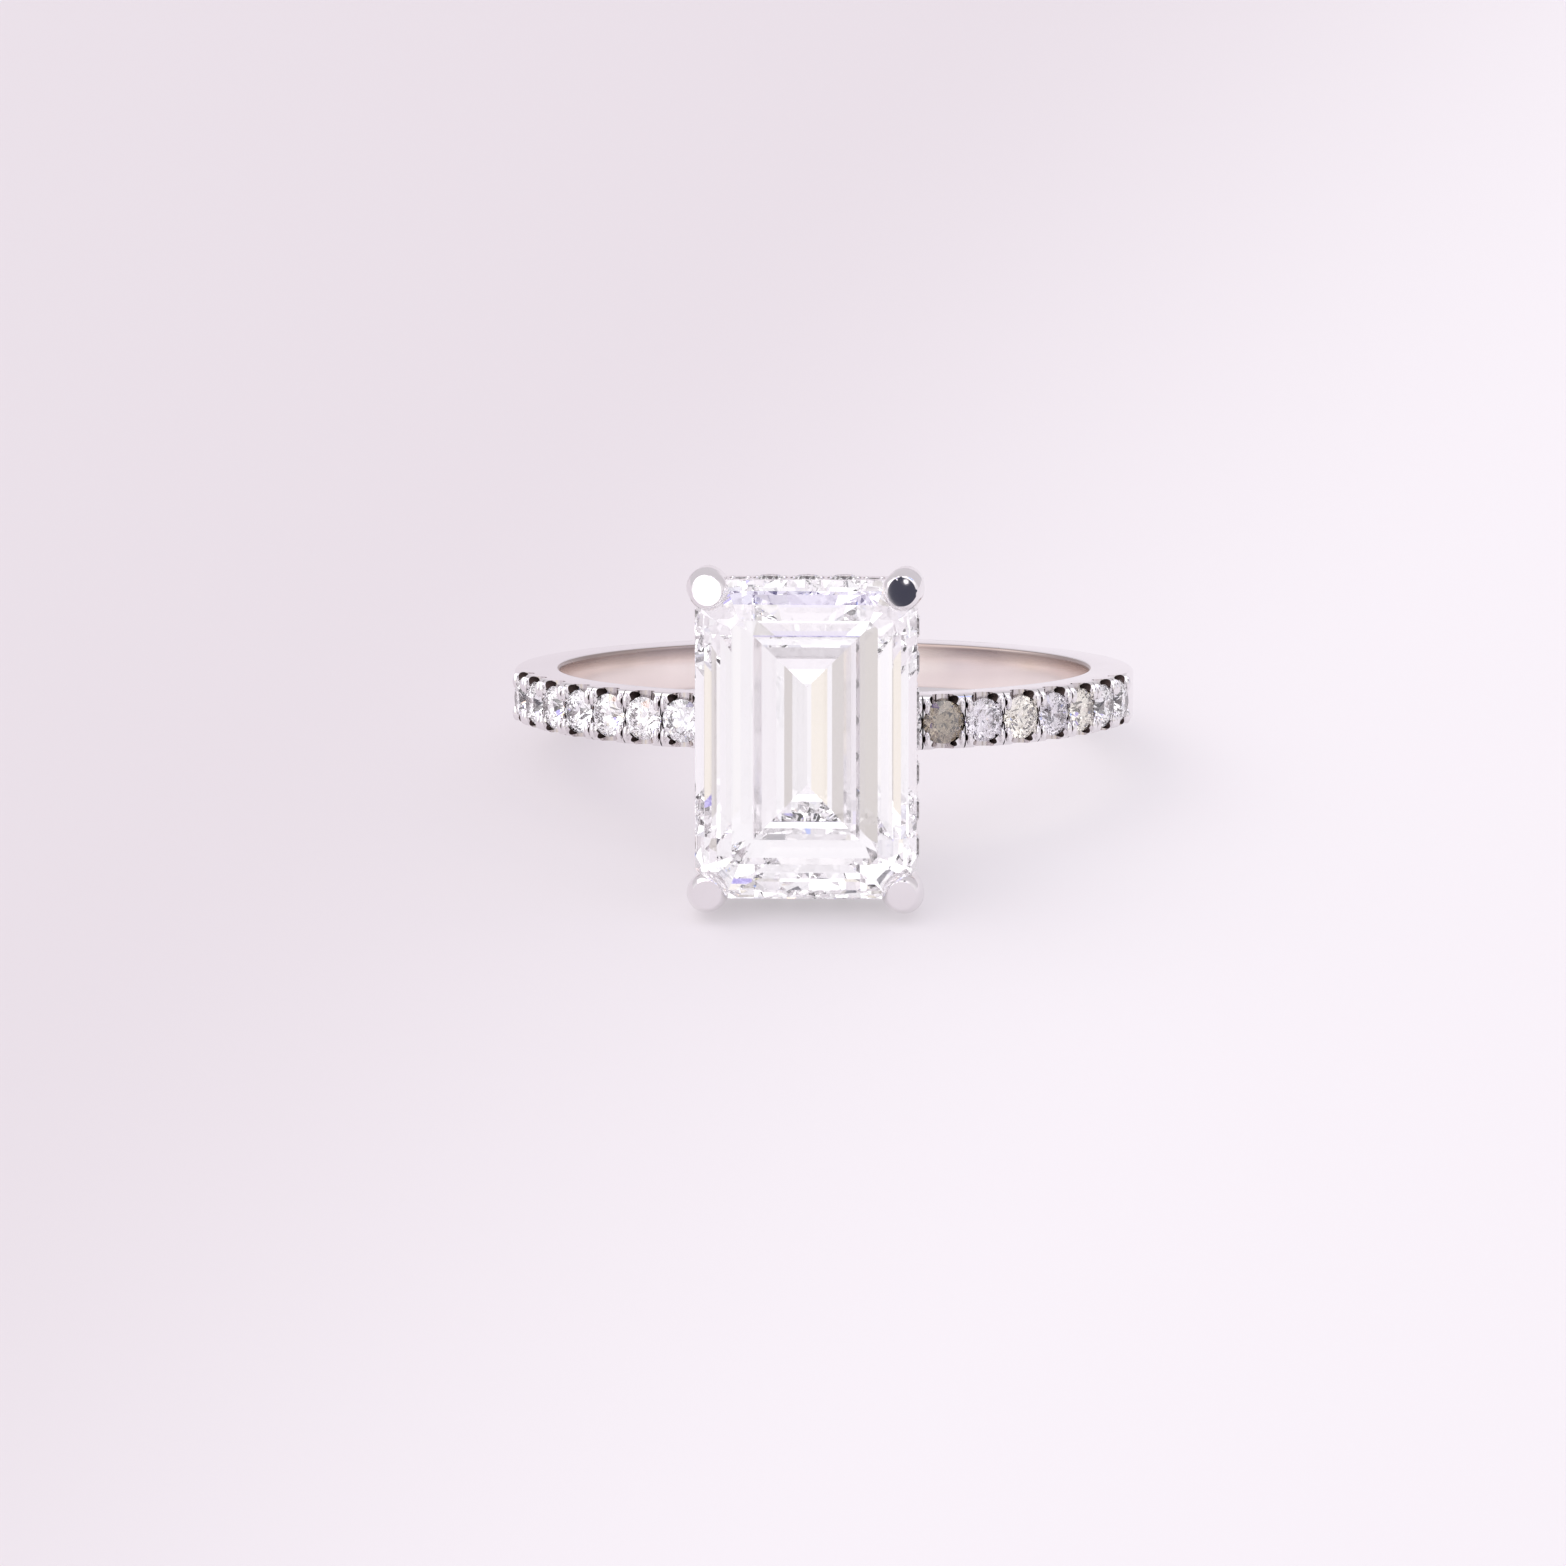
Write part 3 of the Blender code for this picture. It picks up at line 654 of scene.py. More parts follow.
class Ring:
    """Where the ring lies, and how a finished piece is put on it."""

    def __init__(self, record: dict, middle_radius: float) -> None:
        """Finds the ring's own frame from the record's mounts.

        Args:
            record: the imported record.
            middle_radius: the radius at which the band's side mounts lie.
        """
        mounts = {mount["name"]: mount for mount in record["mounts"]}
        back = -Vector(mounts["stone_table"]["axis"]).normalized()
        across = Vector((1, 0, 0))
        middle = (Vector(mounts["band_side_lower"]["pos_m"]) + Vector(mounts["band_side_upper"]["pos_m"])) / 2
        rotation = Matrix((across, back, across.cross(back))).transposed().to_4x4()
        self.matrix = Matrix.Translation(middle - back * middle_radius) @ rotation

    def put(
        self, name: str, mesh: Mesh, place: Matrix, replaced: str, slot: str = "white_gold"
    ) -> None:
        """Puts a finished mesh on the ring in place of a node.

        Args:
            name: the piece's name.
            mesh: its mesh.
            place: its place in the ring's own frame.
            replaced: the node that it stands for.
            slot: the record's material slot; not used.
        """
        obj = stood(name, mesh)
        obj.matrix_world = self.matrix @ place
        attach(obj, "root")
        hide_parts(replaced)
        LOG.info("%s: %d faces, stands for %s", name, len(mesh.polygons), replaced)


def dressed(mesh: Mesh, finish: MetalFinish | StoneFinish) -> Mesh:
    """Gives a mesh a finish and gives it back. A tool's finish stays on the faces that it cuts."""
    mesh.materials.clear()
    mesh.materials.append(finish.material())
    return mesh


def smooth(mesh: Mesh, angle_deg: float = 32.0) -> Mesh:
    """Shades a mesh smooth up to a crease angle and gives it back."""
    mesh.shade_smooth()
    mesh.set_sharp_from_angle(angle=radians(angle_deg))
    return mesh


@dataclass
class SmallSetting:
    """A small round stone with its seat, its prongs and its scallops."""

    cut: Brilliant
    cell: float
    prong: float
    rise: float
    depth: float
    prong_shape: tuple[float, float] = (1.0, 1.0)
    prong_out: float = 0.0
    split: float = 0.03 * MM
    fit: float = 0.02 * MM
    hole: float = 0.38
    sides: int = 40
    seat_finish: MetalFinish = RECESS_PAINTED_SHADE

    def seat(self, floor: float) -> Mesh:
        """Makes the seat's cutter: wall, cone and drilled hole, whose cut faces carry painted shade.

        Args:
            floor: how deep the drilled hole goes.

        Returns:
            The cutter.
        """
        size = self.cut.diameter
        radius, hole = size / 2 + 1.5 * self.fit, self.hole * size / 2
        drop = tan(radians(self.cut.pavilion_slope)) * (radius - hole)
        wall = [(0, size), (radius, size), (radius, -2 * self.fit), (hole, -drop - self.fit)]
        return dressed(turned("seat", [*wall, (hole, -floor), (0, -floor)], self.sides), self.seat_finish)

    def prongs(self) -> list[Placed]:
        """Makes the four prongs, each notched over the girdle.

        Returns:
            The prongs with their places beside the stone.
        """
        wide, long = self.prong_shape
        along = self.cell / 2 - self.prong * wide - self.split / 2
        across = sqrt((self.cut.diameter / 2 + self.prong / 2) ** 2 - along**2) + self.prong_out
        waist = self.rise - self.prong
        turns = [radians(turn) for turn in range(0, 91, 15)]
        dome = [(self.prong * sin(a), waist + self.prong * cos(a)) for a in turns]
        post = turned("prong", [*dome, (self.prong, -self.depth), (0, -self.depth)], 20)
        post.transform(Matrix.Diagonal((wide, long, 1, 1)))
        dressed(post, POLISHED)
        room = dressed(self.cut.mesh("room", 0.4 * self.fit), POLISHED)
        made = []
        for x, y in ((along, across), (-along, across), (-along, -across), (along, -across)):
            copy = post.copy()
            copy.transform(shift(x, y))
            made.append((worked(copy, [(Cut.AWAY, [(room, HERE)])]), HERE))
        return made


@dataclass
class Band:
    """The band: a tapered ring with seats, scallops and prongs for its shoulder stones."""

    ring: Ring
    inner_radius: float = 8.25 * MM
    wall: float = 1.40 * MM
    head_width: float = 1.68 * MM
    taper: float = 0.28 * MM
    inner_round: float = 0.14 * MM
    outer_round: float = 0.16 * MM
    stones_per_side: int = 8
    stone_size: float = 1.32 * MM
    cell: float = 1.385 * MM
    first_reach: float = 2.68 * MM
    prong: float = 0.14 * MM
    prong_height: float = 0.15 * MM
    pocket_reach: float = 0.66 * MM
    pocket_along: float = 0.35 * MM
    pocket_shares: tuple[float, float] = (0.95, 0.55)
    scallop_size: float = 0.26
    scallop_reach: float = 0.93
    pocket_size: float = 0.155 * MM
    pocket_depth: float = 0.42 * MM
    groove_half: float = 0.035 * MM
    groove_depth: float = 0.22 * MM
    groove_reach: float = 1.2 * MM
    sink: float = 0.08 * MM
    steps: int = 420
    setting: SmallSetting = field(init=False)

    def __post_init__(self) -> None:
        """Sets out one shoulder stone's setting."""
        cut = Brilliant(self.stone_size)
        rise = self.sink + self.prong_height
        self.setting = SmallSetting(
            cut, self.cell, self.prong, rise, 0.45 * MM, prong_shape=(0.72, 1.75), prong_out=0.05 * MM
        )

    @property
    def outer_radius(self) -> float:
        """Radius of the band's outer surface."""
        return self.inner_radius + self.wall

    @property
    def pitch(self) -> float:
        """Angle from one shoulder stone to the next."""
        return 2 * asin(self.setting.cell / 2 / self.stone_radius)

    @property
    def stone_radius(self) -> float:
        """Radius on which the shoulder stones' girdles lie."""
        return self.outer_radius - self.sink

    def half_width(self, y: float) -> float:
        """Half the band's width at the ring's own y."""
        return (self.head_width - self.taper * (1 - (self.outer_radius - y) / (2 * self.outer_radius))) / 2

    def angles(self) -> Iterator[tuple[float, str, int]]:
        """Gives (signed angle from the head, side's name, number) of every shoulder stone."""
        first = asin(self.first_reach / self.stone_radius)
        for side, name in ((-1, "left"), (1, "right")):
            for i in range(self.stones_per_side):
                yield side * (first + self.pitch * i), name, i + 1

    def blank(self) -> Mesh:
        """Turns the plain band.

        Returns:
            The tapered band.
        """
        half = self.half_width(-self.outer_radius)
        profile = []
        corners = (
            (self.outer_radius, half, self.outer_round, 90),
            (self.outer_radius, -half, self.outer_round, 0),
            (self.inner_radius, -half, self.inner_round, -90),
            (self.inner_radius, half, self.inner_round, -180),
        )
        for radius, height, rounding, start in corners:
            centre_r = radius + (-rounding if radius == self.outer_radius else rounding)
            centre_h = height - copysign(rounding, height)
            for step in range(7):
                a = radians(start - 15 * step)
                profile.append((centre_r + rounding * cos(a), centre_h + rounding * sin(a)))
        mesh = turned("band", profile, self.steps, closed=True)
        for vertex in mesh.vertices:
            vertex.co.z *= self.half_width(vertex.co.y) / half
        dressed(mesh, POLISHED).materials.append(INSIDE.material())
        for face in mesh.polygons:
            inward = face.center.x * face.normal.x + face.center.y * face.normal.y < 0
            reach = hypot(face.center.x, face.center.y)
            face.material_index = int(inward and reach < self.inner_radius + 0.5 * self.inner_round)
        return mesh

    def scallop(self) -> Mesh:
        """Makes the round-bottomed cutter of a scallop, its axis along Y; its cut faces carry a rougher cut
        finish darkened with painted shade.
        """
        size = self.setting.cut.diameter
        radius, half = self.scallop_size * size, size / 2
        mesh = turned("scallop", [(0, half), (radius, half), (radius, -half), (0, -half)], 32)
        mesh.transform(Matrix.Rotation(pi / 2, 4, "X"))
        return dressed(mesh, SCALLOP_CUT_AND_SHADE)

    def pocket(self) -> Mesh:
        """Makes the cutter of the deep, tear-shaped pocket beside a prong; its cut faces carry painted shade.
        """
        wide, deep = self.pocket_size, self.pocket_depth
        mesh = turned("pocket", [(0, deep), (wide, deep), (wide, 0), (0.4 * wide, -deep), (0, -deep)], 20)
        for vertex in mesh.vertices:
            vertex.co.x *= 0.8 + 0.4 * vertex.co.y / wide
        return dressed(mesh, POCKET_PAINTED_SHADE)

    def groove(self) -> Mesh:
        """Makes the cutter that splits the prongs between two stones: a narrow wedge across the band, whose
        cut faces carry painted shade.
        """
        work = bmesh.new()
        half, deep, reach = self.groove_half, self.groove_depth, self.groove_reach
        section = ((-half * 2, deep), (half * 2, deep), (0, -deep * 0.7))
        wedge = [work.verts.new((x, y, z)) for y in (-reach, reach) for x, z in section]
        for face in ((0, 1, 2), (5, 4, 3), (0, 3, 4, 1), (1, 4, 5, 2), (2, 5, 3, 0)):
            work.faces.new([wedge[i] for i in face])
        bmesh.ops.recalc_face_normals(work, faces=work.faces)
        return dressed(mesh_from(work, "groove"), RECESS_PAINTED_SHADE)

    def build(self) -> None:
        """Cuts the band and puts it on the ring."""
        seat, prongs = self.setting.seat(self.wall), self.setting.prongs()
        scallop, groove, pocket = self.scallop(), self.groove(), self.pocket()
        seats, posts, grooves, pockets = [], [], [], []
        reach = self.scallop_reach * self.setting.cut.diameter
        for angle, _, number in self.angles():
            place = outward(angle, self.stone_radius)
            seats.append((seat, place))
            seats += [(scallop, place @ shift(0, side * reach)) for side in (-1, 1)]
            posts += [(mesh, place @ at) for mesh, at in prongs]
            for turn, size in zip((0, pi), self.pocket_shares):
                edge = place @ Matrix.Rotation(turn, 4, "Z")
                shape = Matrix.Diagonal((size, size, 1, 1))
                for x in (-self.pocket_along, self.pocket_along):
                    pockets.append((pocket, edge @ shift(x, self.pocket_reach) @ shape))
            if number < self.stones_per_side:
                gap = angle + copysign(self.pitch / 2, angle)
                grooves.append((groove, outward(gap, self.outer_radius + 0.02 * MM)))
        steps = [(Cut.AWAY, seats), (Cut.ON, posts), (Cut.AWAY, grooves), (Cut.AWAY, pockets)]
        self.ring.put("band_metal", smooth(worked(self.blank(), steps)), HERE, "band")


@dataclass
class ShoulderStones:
    """The small stones along the band's shoulders."""

    ring: Ring
    band: Band
    spin: float = 0.39
    colours: dict[tuple[str, int], StoneColour] = field(
        default_factory=lambda: {
            ("right", 2): StoneColour.CHAMPAGNE,
            ("right", 3): StoneColour.LILAC,
            ("right", 4): StoneColour.STRAW,
            ("right", 5): StoneColour.LILAC,
            ("right", 6): StoneColour.STRAW,
            ("left", 2): StoneColour.ICE,
            ("left", 5): StoneColour.ICE,
        }
    )

    def build(self) -> None:
        """Cuts, dresses and places the stones."""
        meshes: dict[StoneColour, Mesh] = {}
        for angle, side, number in self.band.angles():
            colour = self.colours.get((side, number), StoneColour.WHITE)
            if colour not in meshes:
                mesh = self.band.setting.cut.mesh(f"shoulder_{colour.name.lower()}")
                meshes[colour] = dressed(mesh, StoneFinish(colour))
            turn = Matrix.Rotation(self.spin * number, 4, "Z")
            place = outward(angle, self.band.stone_radius) @ turn
            node = f"shoulder_stone_{side}_{number}"
            self.ring.put(f"shoulder_diamond_{side}_{number}", meshes[colour], place, node, "small_diamond")


@dataclass
class CentreStone:
    """The centre stone."""

    ring: Ring
    band: Band
    cut: StepCut = field(default_factory=StepCut)
    above_band: float = 0.52 * MM

    @property
    def head(self) -> Matrix:
        """The head's frame in the ring's own: Z away from the finger, the girdle's lower edge in z = 0."""
        return outward(0.0, self.band.outer_radius + self.above_band + self.cut.pavilion_depth)

    def build(self) -> None:
        """Cuts and places the stone."""
        mesh = dressed(self.cut.mesh("centre_diamond"), StoneFinish(StoneColour.WHITE))
        self.ring.put("centre_diamond", mesh, self.head, "centre_stone", "centre_diamond")


@dataclass
class HaloRail:
    """The rail under the centre stone, with the hidden halo's stones in its outer wall."""

    ring: Ring
    stone: CentreStone
    height: float = 1.24 * MM
    wall: float = 0.86 * MM
    below_girdle: float = 0.34 * MM
    stone_size: float = 0.99 * MM
    end_share: float = 0.62
    spacing: float = 1.12
    sink: float = 0.12 * MM
    set_in: float = 0.04 * MM
    prong: float = 0.12 * MM

    @property
    def middle(self) -> float:
        """Height of the rail's middle in the head's frame."""
        return -self.below_girdle - self.height / 2

    def row(self, straight: float) -> list[tuple[float, float]]:
        """Lays out one side.

        Args:
            straight: the side's straight length.

        Returns:
            (place along the side, share of a full stone's size) of each stone.
        """
        pitch = self.spacing * self.stone_size
        pairs = int((straight - pitch) / (2 * pitch))
        row = [(i * pitch, 1.0) for i in range(-pairs, pairs + 1)]
        end = (len(row) + self.end_share) * pitch / 2
        if end + self.end_share * pitch / 2 < straight / 2:
            row = [(-end, self.end_share), *row, (end, self.end_share)]
        return row

    def places(self) -> Iterator[tuple[Matrix, float]]:
        """Gives (frame in the head's frame, share of a full stone's size) of every halo stone, in order."""
        cut = self.stone.cut
        sides = ((cut.width, cut.length), (cut.length, cut.width))
        for quarter in range(4):
            across, along = sides[quarter % 2]
            for place, share in self.row(along - 2 * cut.corner):
                yield side_frame(quarter, place, across / 2 - self.sink, self.middle), share

    def outline(self, outset: float) -> list[tuple[float, float]]:
        """Draws a rectangle with cut corners, moved outwards by outset."""
        cut = self.stone.cut
        x, y = cut.width / 2 + outset, cut.length / 2 + outset
        corner = cut.corner + outset * (2 - sqrt(2))
        points = []
        for sign_x, sign_y in QUADRANTS:
            pair = [(sign_x * x, sign_y * (y - corner)), (sign_x * (x - corner), sign_y * y)]
            points += pair if sign_x == sign_y else pair[::-1]
        return points

    def blank(self) -> Mesh:
        """Saws the rail's plain frame."""
        mesh = plate("halo_rail", [self.outline(-self.set_in), self.outline(-self.wall)], self.height)
        mesh.transform(shift(0, 0, self.middle))
        return dressed(mesh, POLISHED)

    def build(self) -> None:
        """Cuts the rail, sets its stones and dresses both."""
        settings = {}
        for share in (1.0, self.end_share):
            cut = Brilliant(self.stone_size * share)
            cell, prong, rise = self.spacing * cut.diameter, self.prong * share**0.5, self.sink - 0.01 * MM
            settings[share] = SmallSetting(cut, cell, prong, rise, 0.2 * MM, sides=32)
        seats = {share: setting.seat(2 * self.wall) for share, setting in settings.items()}
        prongs = {share: setting.prongs() for share, setting in settings.items()}
        white = StoneFinish(StoneColour.WHITE)
        stones = {share: dressed(made.cut.mesh("halo_diamond"), white) for share, made in settings.items()}
        cuts = [(dressed(self.stone.cut.mesh("room", 0.03 * MM), POLISHED), HERE)]
        posts = []
        for number, (place, share) in enumerate(self.places(), 1):
            cuts.append((seats[share], place))
            posts += [(mesh, place @ at) for mesh, at in prongs[share]]
            name, node = f"halo_diamond_{number:02d}", f"halo_stone_{number:02d}"
            self.ring.put(name, stones[share], self.stone.head @ place, node, "small_diamond")
        mesh = worked(self.blank(), [(Cut.AWAY, cuts), (Cut.ON, posts)])
        self.ring.put("halo_rail_metal", smooth(mesh), self.stone.head, "halo_rail")


@dataclass
class Basket:
    """The base rail on the band, and the four claws that rise from it to the stone's corners."""

    ring: Ring
    band: Band
    stone: CentreStone
    halo: HaloRail
    rail_half_x: float = 1.66 * MM
    rail_half_y: float = 3.10 * MM
    rail_corner: float = 0.95 * MM
    rail_wire: float = 0.38 * MM
    bedding: float = 0.07 * MM
    tip_radius: float = 0.60 * MM
    shaft_radius: float = 0.52 * MM
    foot_radius: float = 0.34 * MM
    outside_x: float = 0.10 * MM
    outside_y: float = 0.26 * MM
    tip_rise: float = 0.98 * MM
    pad_out: tuple[float, float, float] = (0.222, 0.274, 0.935)
    pad_depth: float = 0.20 * MM
    pad_curve: float = 5.0 * MM
    pad_reach: float = 2.2 * MM
    file_length: float = 8.0 * MM
    tip_lean: float = 0.60 * MM

    @property
    def rail_height(self) -> float:
        """Height of the base rail's middle line in the head's frame."""
        top = sqrt(self.band.outer_radius**2 - self.rail_half_x**2)
        radius = self.band.outer_radius + self.stone.above_band + self.stone.cut.pavilion_depth
        return top + self.rail_wire - self.bedding - radius

    def rail(self) -> Mesh:
        """Bends the base rail from round wire."""
        line = []
        x, y = self.rail_half_x - self.rail_corner, self.rail_half_y - self.rail_corner
        for corner, (sign_x, sign_y) in enumerate(QUADRANTS):
            for step in range(13):
                a = radians(90 * corner + 7.5 * step)
                bend = Vector((cos(a), sin(a), 0)) * self.rail_corner
                line.append((Vector((sign_x * x, sign_y * y, self.rail_height)) + bend, self.rail_wire))
        return wire("base_rail", line, 8, closed=True)

    def claw_place(self, inward: float) -> Vector:
        """Gives a claw's middle in plan, moved along the diagonal towards the stone."""
        cut = self.stone.cut
        x = (cut.width - cut.corner) / 2 + self.outside_x
        y = (cut.length - cut.corner) / 2 + self.outside_y
        return Vector((x, y)) - Vector((1, 1)).normalized() * inward

    def claw_line(self) -> list[tuple[Vector, float]]:
        """Gives (place, radius) along the upper right claw, from foot to tip."""
        inset = self.rail_corner * (1 - sqrt(0.5))
        foot = Vector((self.rail_half_x - inset, self.rail_half_y - inset))
        low, base = -self.halo.below_girdle - self.halo.height, self.rail_height
        shaft, neck = self.claw_place(0.04 * MM), self.claw_place(0.0)
        path = [
            (*foot, base, self.foot_radius),
            (*foot.lerp(shaft, 0.40), base + 0.52 * MM, 0.40 * MM),
            (*foot.lerp(shaft, 0.80), low - 0.30 * MM, 0.46 * MM),
            (*shaft, low + 0.45 * MM, self.shaft_radius),
            (*neck, 0.0, self.shaft_radius + 0.03 * MM),
        ]
        bend_from, dome_from, steps = 0.25 * MM, 0.35, 14
        top = self.stone.cut.girdle + self.tip_rise
        for i in range(1, steps + 1):
            share = i / steps
            place = self.claw_place(self.tip_lean * share**1.6)
            height = bend_from + (top - bend_from) * sin(share * pi / 2)
            dome = max(0.0, share - dome_from) / (1 - dome_from)
            path.append((*place, height, self.tip_radius * sqrt(1 - 0.985 * dome**2)))
        return [(Vector(p[:3]), p[3]) for p in path]

    def smoothed(self, line: Line, between: int = 4) -> list[tuple[Vector, float]]:
        """Runs a smooth curve through a line's points.

        Args:
            line: (place, radius) points.
            between: how many steps to make of each stretch.

        Returns:
            More (place, radius) points.
        """
        rows = [(*place, radius) for place, radius in line]
        rows = [rows[0], *rows, rows[-1]]
        out = []
        for near in zip(rows, rows[1:], rows[2:], rows[3:]):
            for i in range(between):
                t = i / between
                weights = (
                    t * (2 * t - t * t - 1) / 2,
                    (t * t * (3 * t - 5) + 2) / 2,
                    t * (4 * t - 3 * t * t + 1) / 2,
                    t * t * (t - 1) / 2,
                )
                row = [sum(w * v for w, v in zip(weights, values)) for values in zip(*near)]
                out.append((Vector(row[:3]), max(row[3], 0.01 * MM)))
        return [*out, line[-1]]

    def pad(self, claw: Mesh, out: Vector) -> Placed:
        """Makes the file's path that gives a claw its slightly domed pad.

        Args:
            claw: the claw, before it is filed.
            out: the direction that the pad faces.

        Returns:
            The shape to trim the claw to, with its place.
        """
        tip = max((v.co for v in claw.vertices), key=out.dot)
        curve, reach, low, steps = self.pad_curve, self.pad_reach, -self.file_length, 24
        runs = [reach * i / steps for i in range(steps + 1)]
        dome = [(run, sqrt(curve**2 - run**2) - curve) for run in runs]
        mesh = dressed(turned("pad", [*dome, (reach, low), (0, low)], 4 * steps), POLISHED)
        facing = out.to_track_quat("Z", "Y").to_matrix().to_4x4()
        return mesh, Matrix.Translation(tip - out * self.pad_depth) @ facing

    def build(self) -> None:
        """Bends, notches and places the rail and the claws."""
        head = self.stone.head
        half, radius = self.band.head_width / 2 + 0.02 * MM, self.band.outer_radius + 0.01 * MM
        profile = [(0, half), (radius, half), (radius, -half), (0, -half)]
        room = dressed(turned("band_room", profile, 720), POLISHED)
        mesh = worked(dressed(self.rail(), POLISHED), [(Cut.AWAY, [(room, head.inverted())])])
        self.ring.put("base_rail_metal", smooth(mesh, 40), head, "base_rail")
        notch = dressed(self.stone.cut.mesh("notch", 0.006 * MM), POLISHED)
        line = self.smoothed(self.claw_line())
        names = ("upper_right", "upper_left", "lower_left", "lower_right")
        for name, (sign_x, sign_y) in zip(names, QUADRANTS):
            turned_line = [(Vector((sign_x * p.x, sign_y * p.y, p.z)), radius) for p, radius in line]
            claw = dressed(wire(f"claw_{name}", turned_line, 10), POLISHED)
            out = Vector((sign_x * self.pad_out[0], sign_y * self.pad_out[1], self.pad_out[2])).normalized()
            mesh = worked(claw, [(Cut.TRIM, [self.pad(claw, out)]), (Cut.AWAY, [(notch, HERE)])])
            self.ring.put(f"claw_metal_{name}", smooth(mesh, 40), head, f"claw_{name}")


# ---- the studio


@dataclass(frozen=True)
class Card:
    """A round card in the room: where it hangs as seen from the ring, its size, soft edge and colour."""

    azimuth_deg: float
    elevation_deg: float
    radius_deg: float
    soft_deg: float
    colour: Colour

    def direction(self) -> Vector:
        """Gives the direction from the ring. Azimuth 0 is before the ring, and grows to its right."""
        a, e = radians(self.azimuth_deg), radians(self.elevation_deg)
        return Vector((sin(a) * cos(e), -cos(a) * cos(e), sin(e)))


WHITE, SLATE, SHADE = (1.7, 1.65, 1.7), (0.07, 0.07, 0.10), (0.50, 0.46, 0.50)
CARDS = (
    Card(0, 90, 35, 25, (1.40, 1.36, 1.42)),
    Card(180, 15, 45, 20, (0.72, 0.68, 0.72)),
    Card(-68, 10, 12, 8, (0.72, 0.69, 0.80)),
    Card(-21, 6, 6, 5, (0.95, 0.87, 0.77)),
    Card(15, 5, 6, 4, (0.62, 0.57, 0.55)),
    Card(76, 12, 12, 8, (0.70, 0.68, 0.79)),
    Card(-34, 34, 22, 10, WHITE),
    Card(33, 36, 11, 3, SLATE),
    Card(36.5, 42, 1.2, 0.8, WHITE),
    Card(-84, 30, 6, 5, SHADE),
    Card(10, 64, 4, 3, SLATE),
    Card(-62, 60, 4, 2, (1.2, 0.45, 0.12)),
    Card(86, 50, 5, 2, (0.16, 0.36, 1.3)),
    Card(-2, 78, 8, 3, (0.48, 0.40, 1.0)),
    Card(-105, 50, 4, 2, (1.2, 1.1, 0.35)),
    Card(125, 60, 4, 3, SLATE),
    Card(-145, 60, 5, 3, SLATE),
)


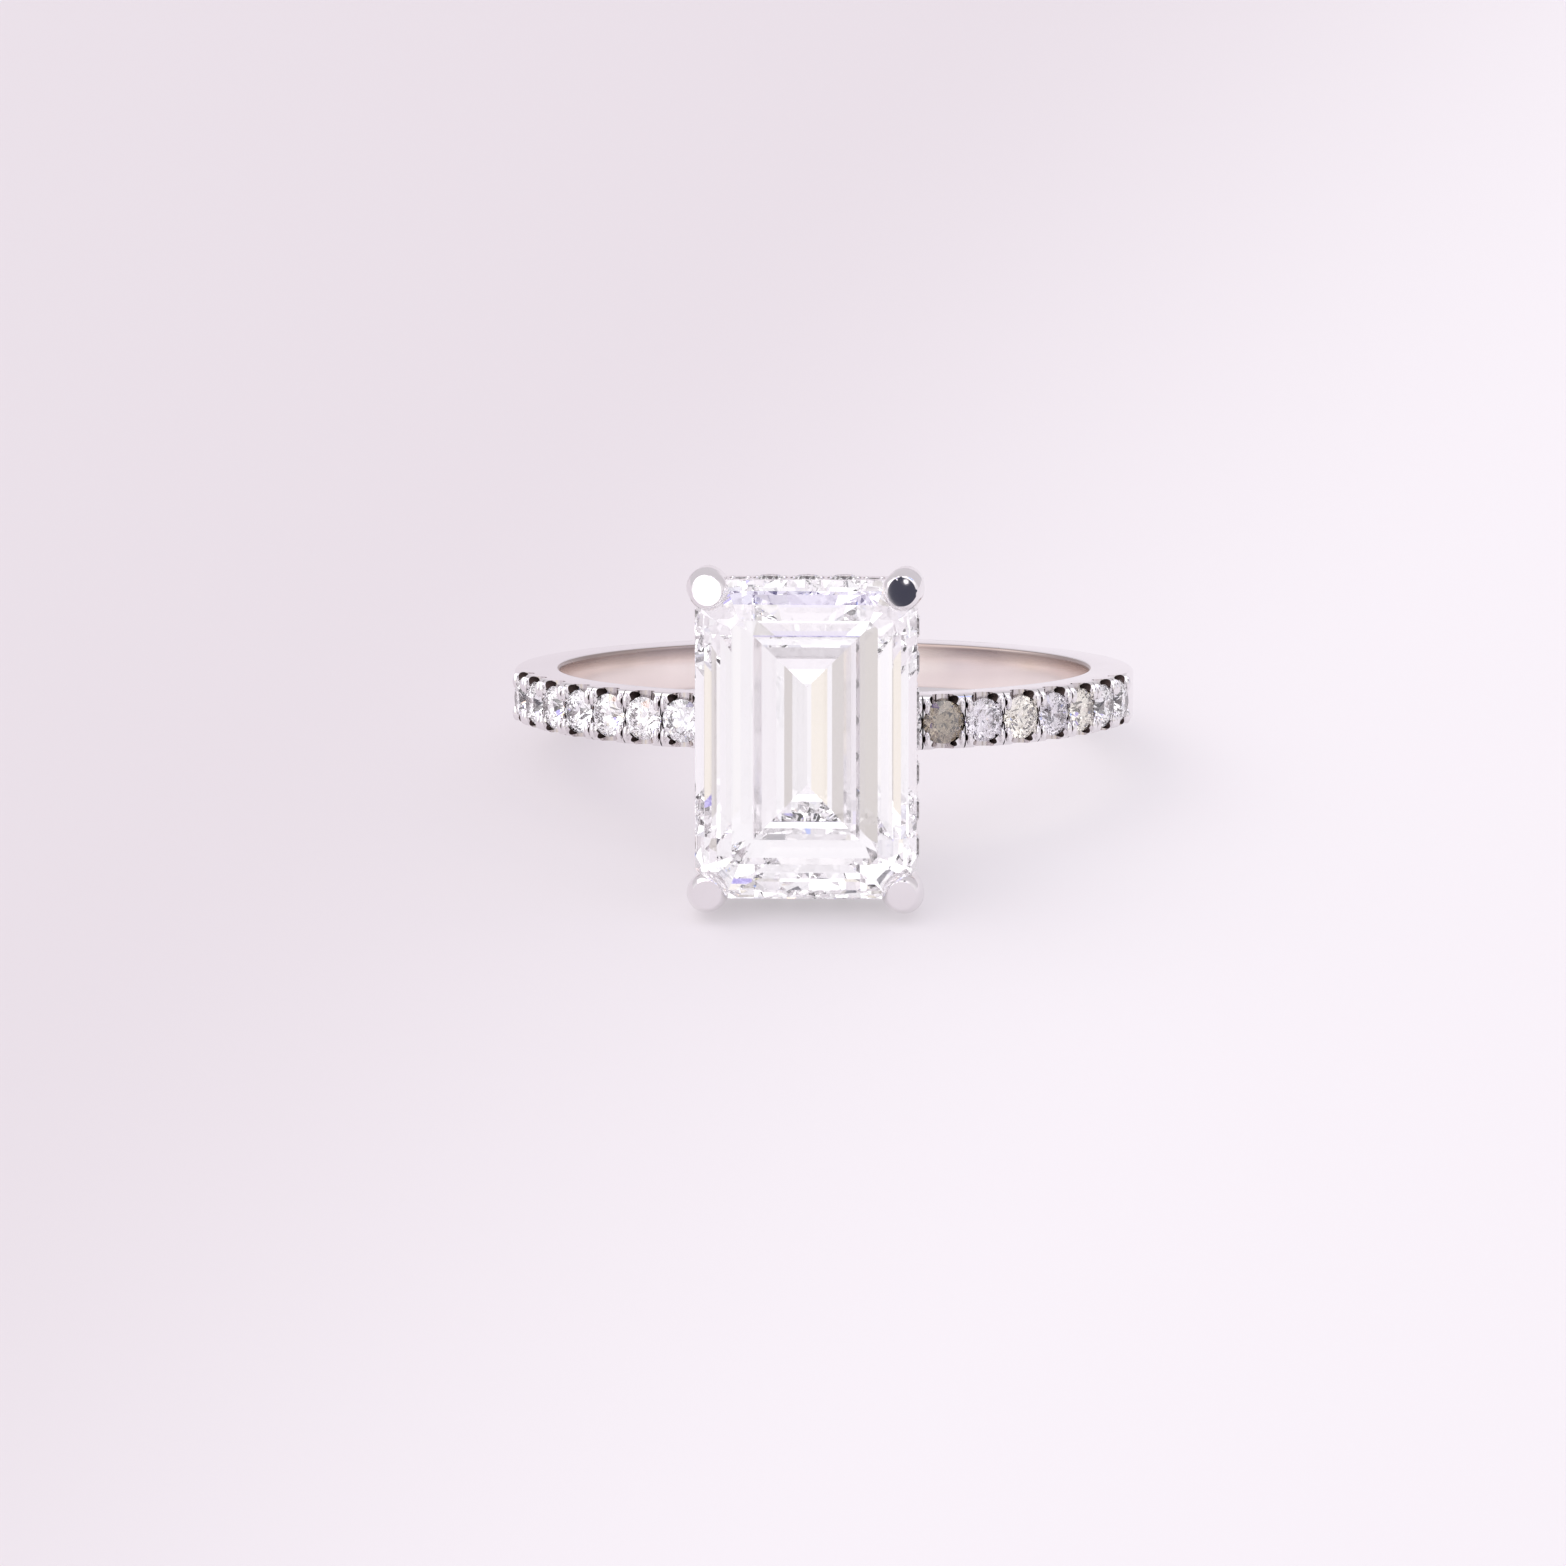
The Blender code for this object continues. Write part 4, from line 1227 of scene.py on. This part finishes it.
@dataclass
class Studio:
    """A pale floor with painted light on it, soft light and the camera."""

    ring: Ring
    bounces: int = 32
    distance: float = 0.338
    azimuth_deg: float = 2.5
    elevation_deg: float = 6.6
    lens: float = 249.0
    aim_left: float = 1.28 * MM
    aim_down: float = 2.87 * MM
    walls: Colour = (0.96, 0.925, 0.965)
    floor_shaded_left: Colour = (0.330, 0.305, 0.322)
    floor_lit_right: Colour = (0.387, 0.370, 0.385)
    floor_glow: float = 1.25
    floor_light_falloff: Colour = (29.0, -6.0, 0.0)
    window: Colour = (-0.35, 0.10, 0.45)

    def camera(self) -> None:
        """Stands the camera before the head, a little over the ring's own plane."""
        a, e = radians(self.azimuth_deg), radians(self.elevation_deg)
        back = Vector((sin(a) * cos(e), -cos(a) * cos(e), sin(e)))
        right = Vector((cos(a), sin(a), 0))
        up = back.cross(right)
        place = back * self.distance - right * self.aim_left - up * self.aim_down
        rotation = Matrix((right, up, back)).transposed().to_4x4()
        data = bpy.data.cameras.new("camera")
        data.lens = self.lens
        data.sensor_width = 36.0
        data.clip_start, data.clip_end = 0.01, 50.0
        camera = stood("camera", data)
        camera.matrix_world = self.ring.matrix @ Matrix.Translation(place) @ rotation
        bpy.context.scene.camera = camera

    def floor(self) -> None:
        """Lays a wide, pale, matt floor under the ring, with painted light: darker towards -X and lighter
        towards +X, and a glow of its own colour that lightens the shadows on it.
        """
        work = bmesh.new()
        bmesh.ops.create_grid(work, x_segments=1, y_segments=1, size=3.0)
        floor = stood("floor", mesh_from(work, "floor"))
        made, shader = new_material("pale_floor")
        tree = made.node_tree
        place = add(tree, "TexCoord").outputs["Object"]
        # Painted light: the floor grades from a shaded side to a lit side.
        lean = add(tree, "VectorMath", {0: place, 1: self.floor_light_falloff}, operation="DOT_PRODUCT")
        edges = {"Value": lean.outputs["Value"], "From Min": -0.6, "From Max": 0.5}
        light_falloff = add(tree, "MapRange", edges, interpolation_type="SMOOTHSTEP").outputs["Result"]
        mixed = {"Factor": light_falloff, "A": (*self.floor_shaded_left, 1), "B": (*self.floor_lit_right, 1)}
        tone = add(tree, "Mix", mixed, data_type="RGBA").outputs["Result"]
        # Painted light: the floor glows with its own colour, lifting its shadows.
        feed(shader, {"Roughness": 0.75, "Specular IOR Level": 0.2, "Emission Strength": self.floor_glow})
        feed(shader, {"Base Color": tone, "Emission Color": tone})
        floor.data.materials.append(made)

    def world(self) -> None:
        """Surrounds the ring with a bright room, and hangs the cards in it."""
        world = bpy.data.worlds.new("room")
        bpy.context.scene.world = world
        world.use_nodes = True
        tree = world.node_tree
        place = add(tree, "TexCoord").outputs["Generated"]
        colour: tuple[float, ...] | NodeSocket = (*self.walls, 1)
        for card in CARDS:
            aim = {0: place, 1: card.direction()}
            reach = add(tree, "VectorMath", aim, operation="DOT_PRODUCT").outputs["Value"]
            radius, rim = radians(card.radius_deg), radians(card.radius_deg + card.soft_deg)
            edges = {"Value": reach, "From Min": cos(rim), "From Max": cos(radius)}
            edge = add(tree, "MapRange", edges, interpolation_type="SMOOTHSTEP").outputs["Result"]
            mixed = {"Factor": edge, "A": colour, "B": (*card.colour, 1)}
            colour = add(tree, "Mix", mixed, data_type="RGBA").outputs["Result"]
        feed(tree.nodes["Background"], {"Color": colour})

    def lamp(self, size: float = 0.60, power: float = 0.9) -> None:
        """Hangs the window, a square soft light of that size and power in watts that faces the ring."""
        data = bpy.data.lights.new("window", "AREA")
        data.size = size
        data.energy = power
        lamp = stood("window", data)
        lamp.location = self.window
        lamp.rotation_mode = "QUATERNION"
        lamp.rotation_quaternion = Vector(self.window).to_track_quat("Z", "Y")

    def build(self) -> None:
        """Sets up the whole studio."""
        self.camera()
        self.floor()
        self.world()
        self.lamp()
        bpy.context.scene.view_settings.view_transform = "Standard"
        cycles = bpy.context.scene.cycles
        cycles.max_bounces = cycles.transmission_bounces = cycles.glossy_bounces = self.bounces


def main() -> None:
    """Builds the ring piece by piece, then the studio."""
    logging.basicConfig(level=logging.INFO, format="%(message)s")
    ring = Ring(frame["record"], Band.inner_radius + Band.wall / 2)
    band = Band(ring)
    stone = CentreStone(ring, band)
    halo = HaloRail(ring, stone)
    band.build()
    ShoulderStones(ring, band).build()
    stone.build()
    halo.build()
    Basket(ring, band, stone, halo).build()
    Studio(ring).build()


if __name__ == "__main__":
    main()
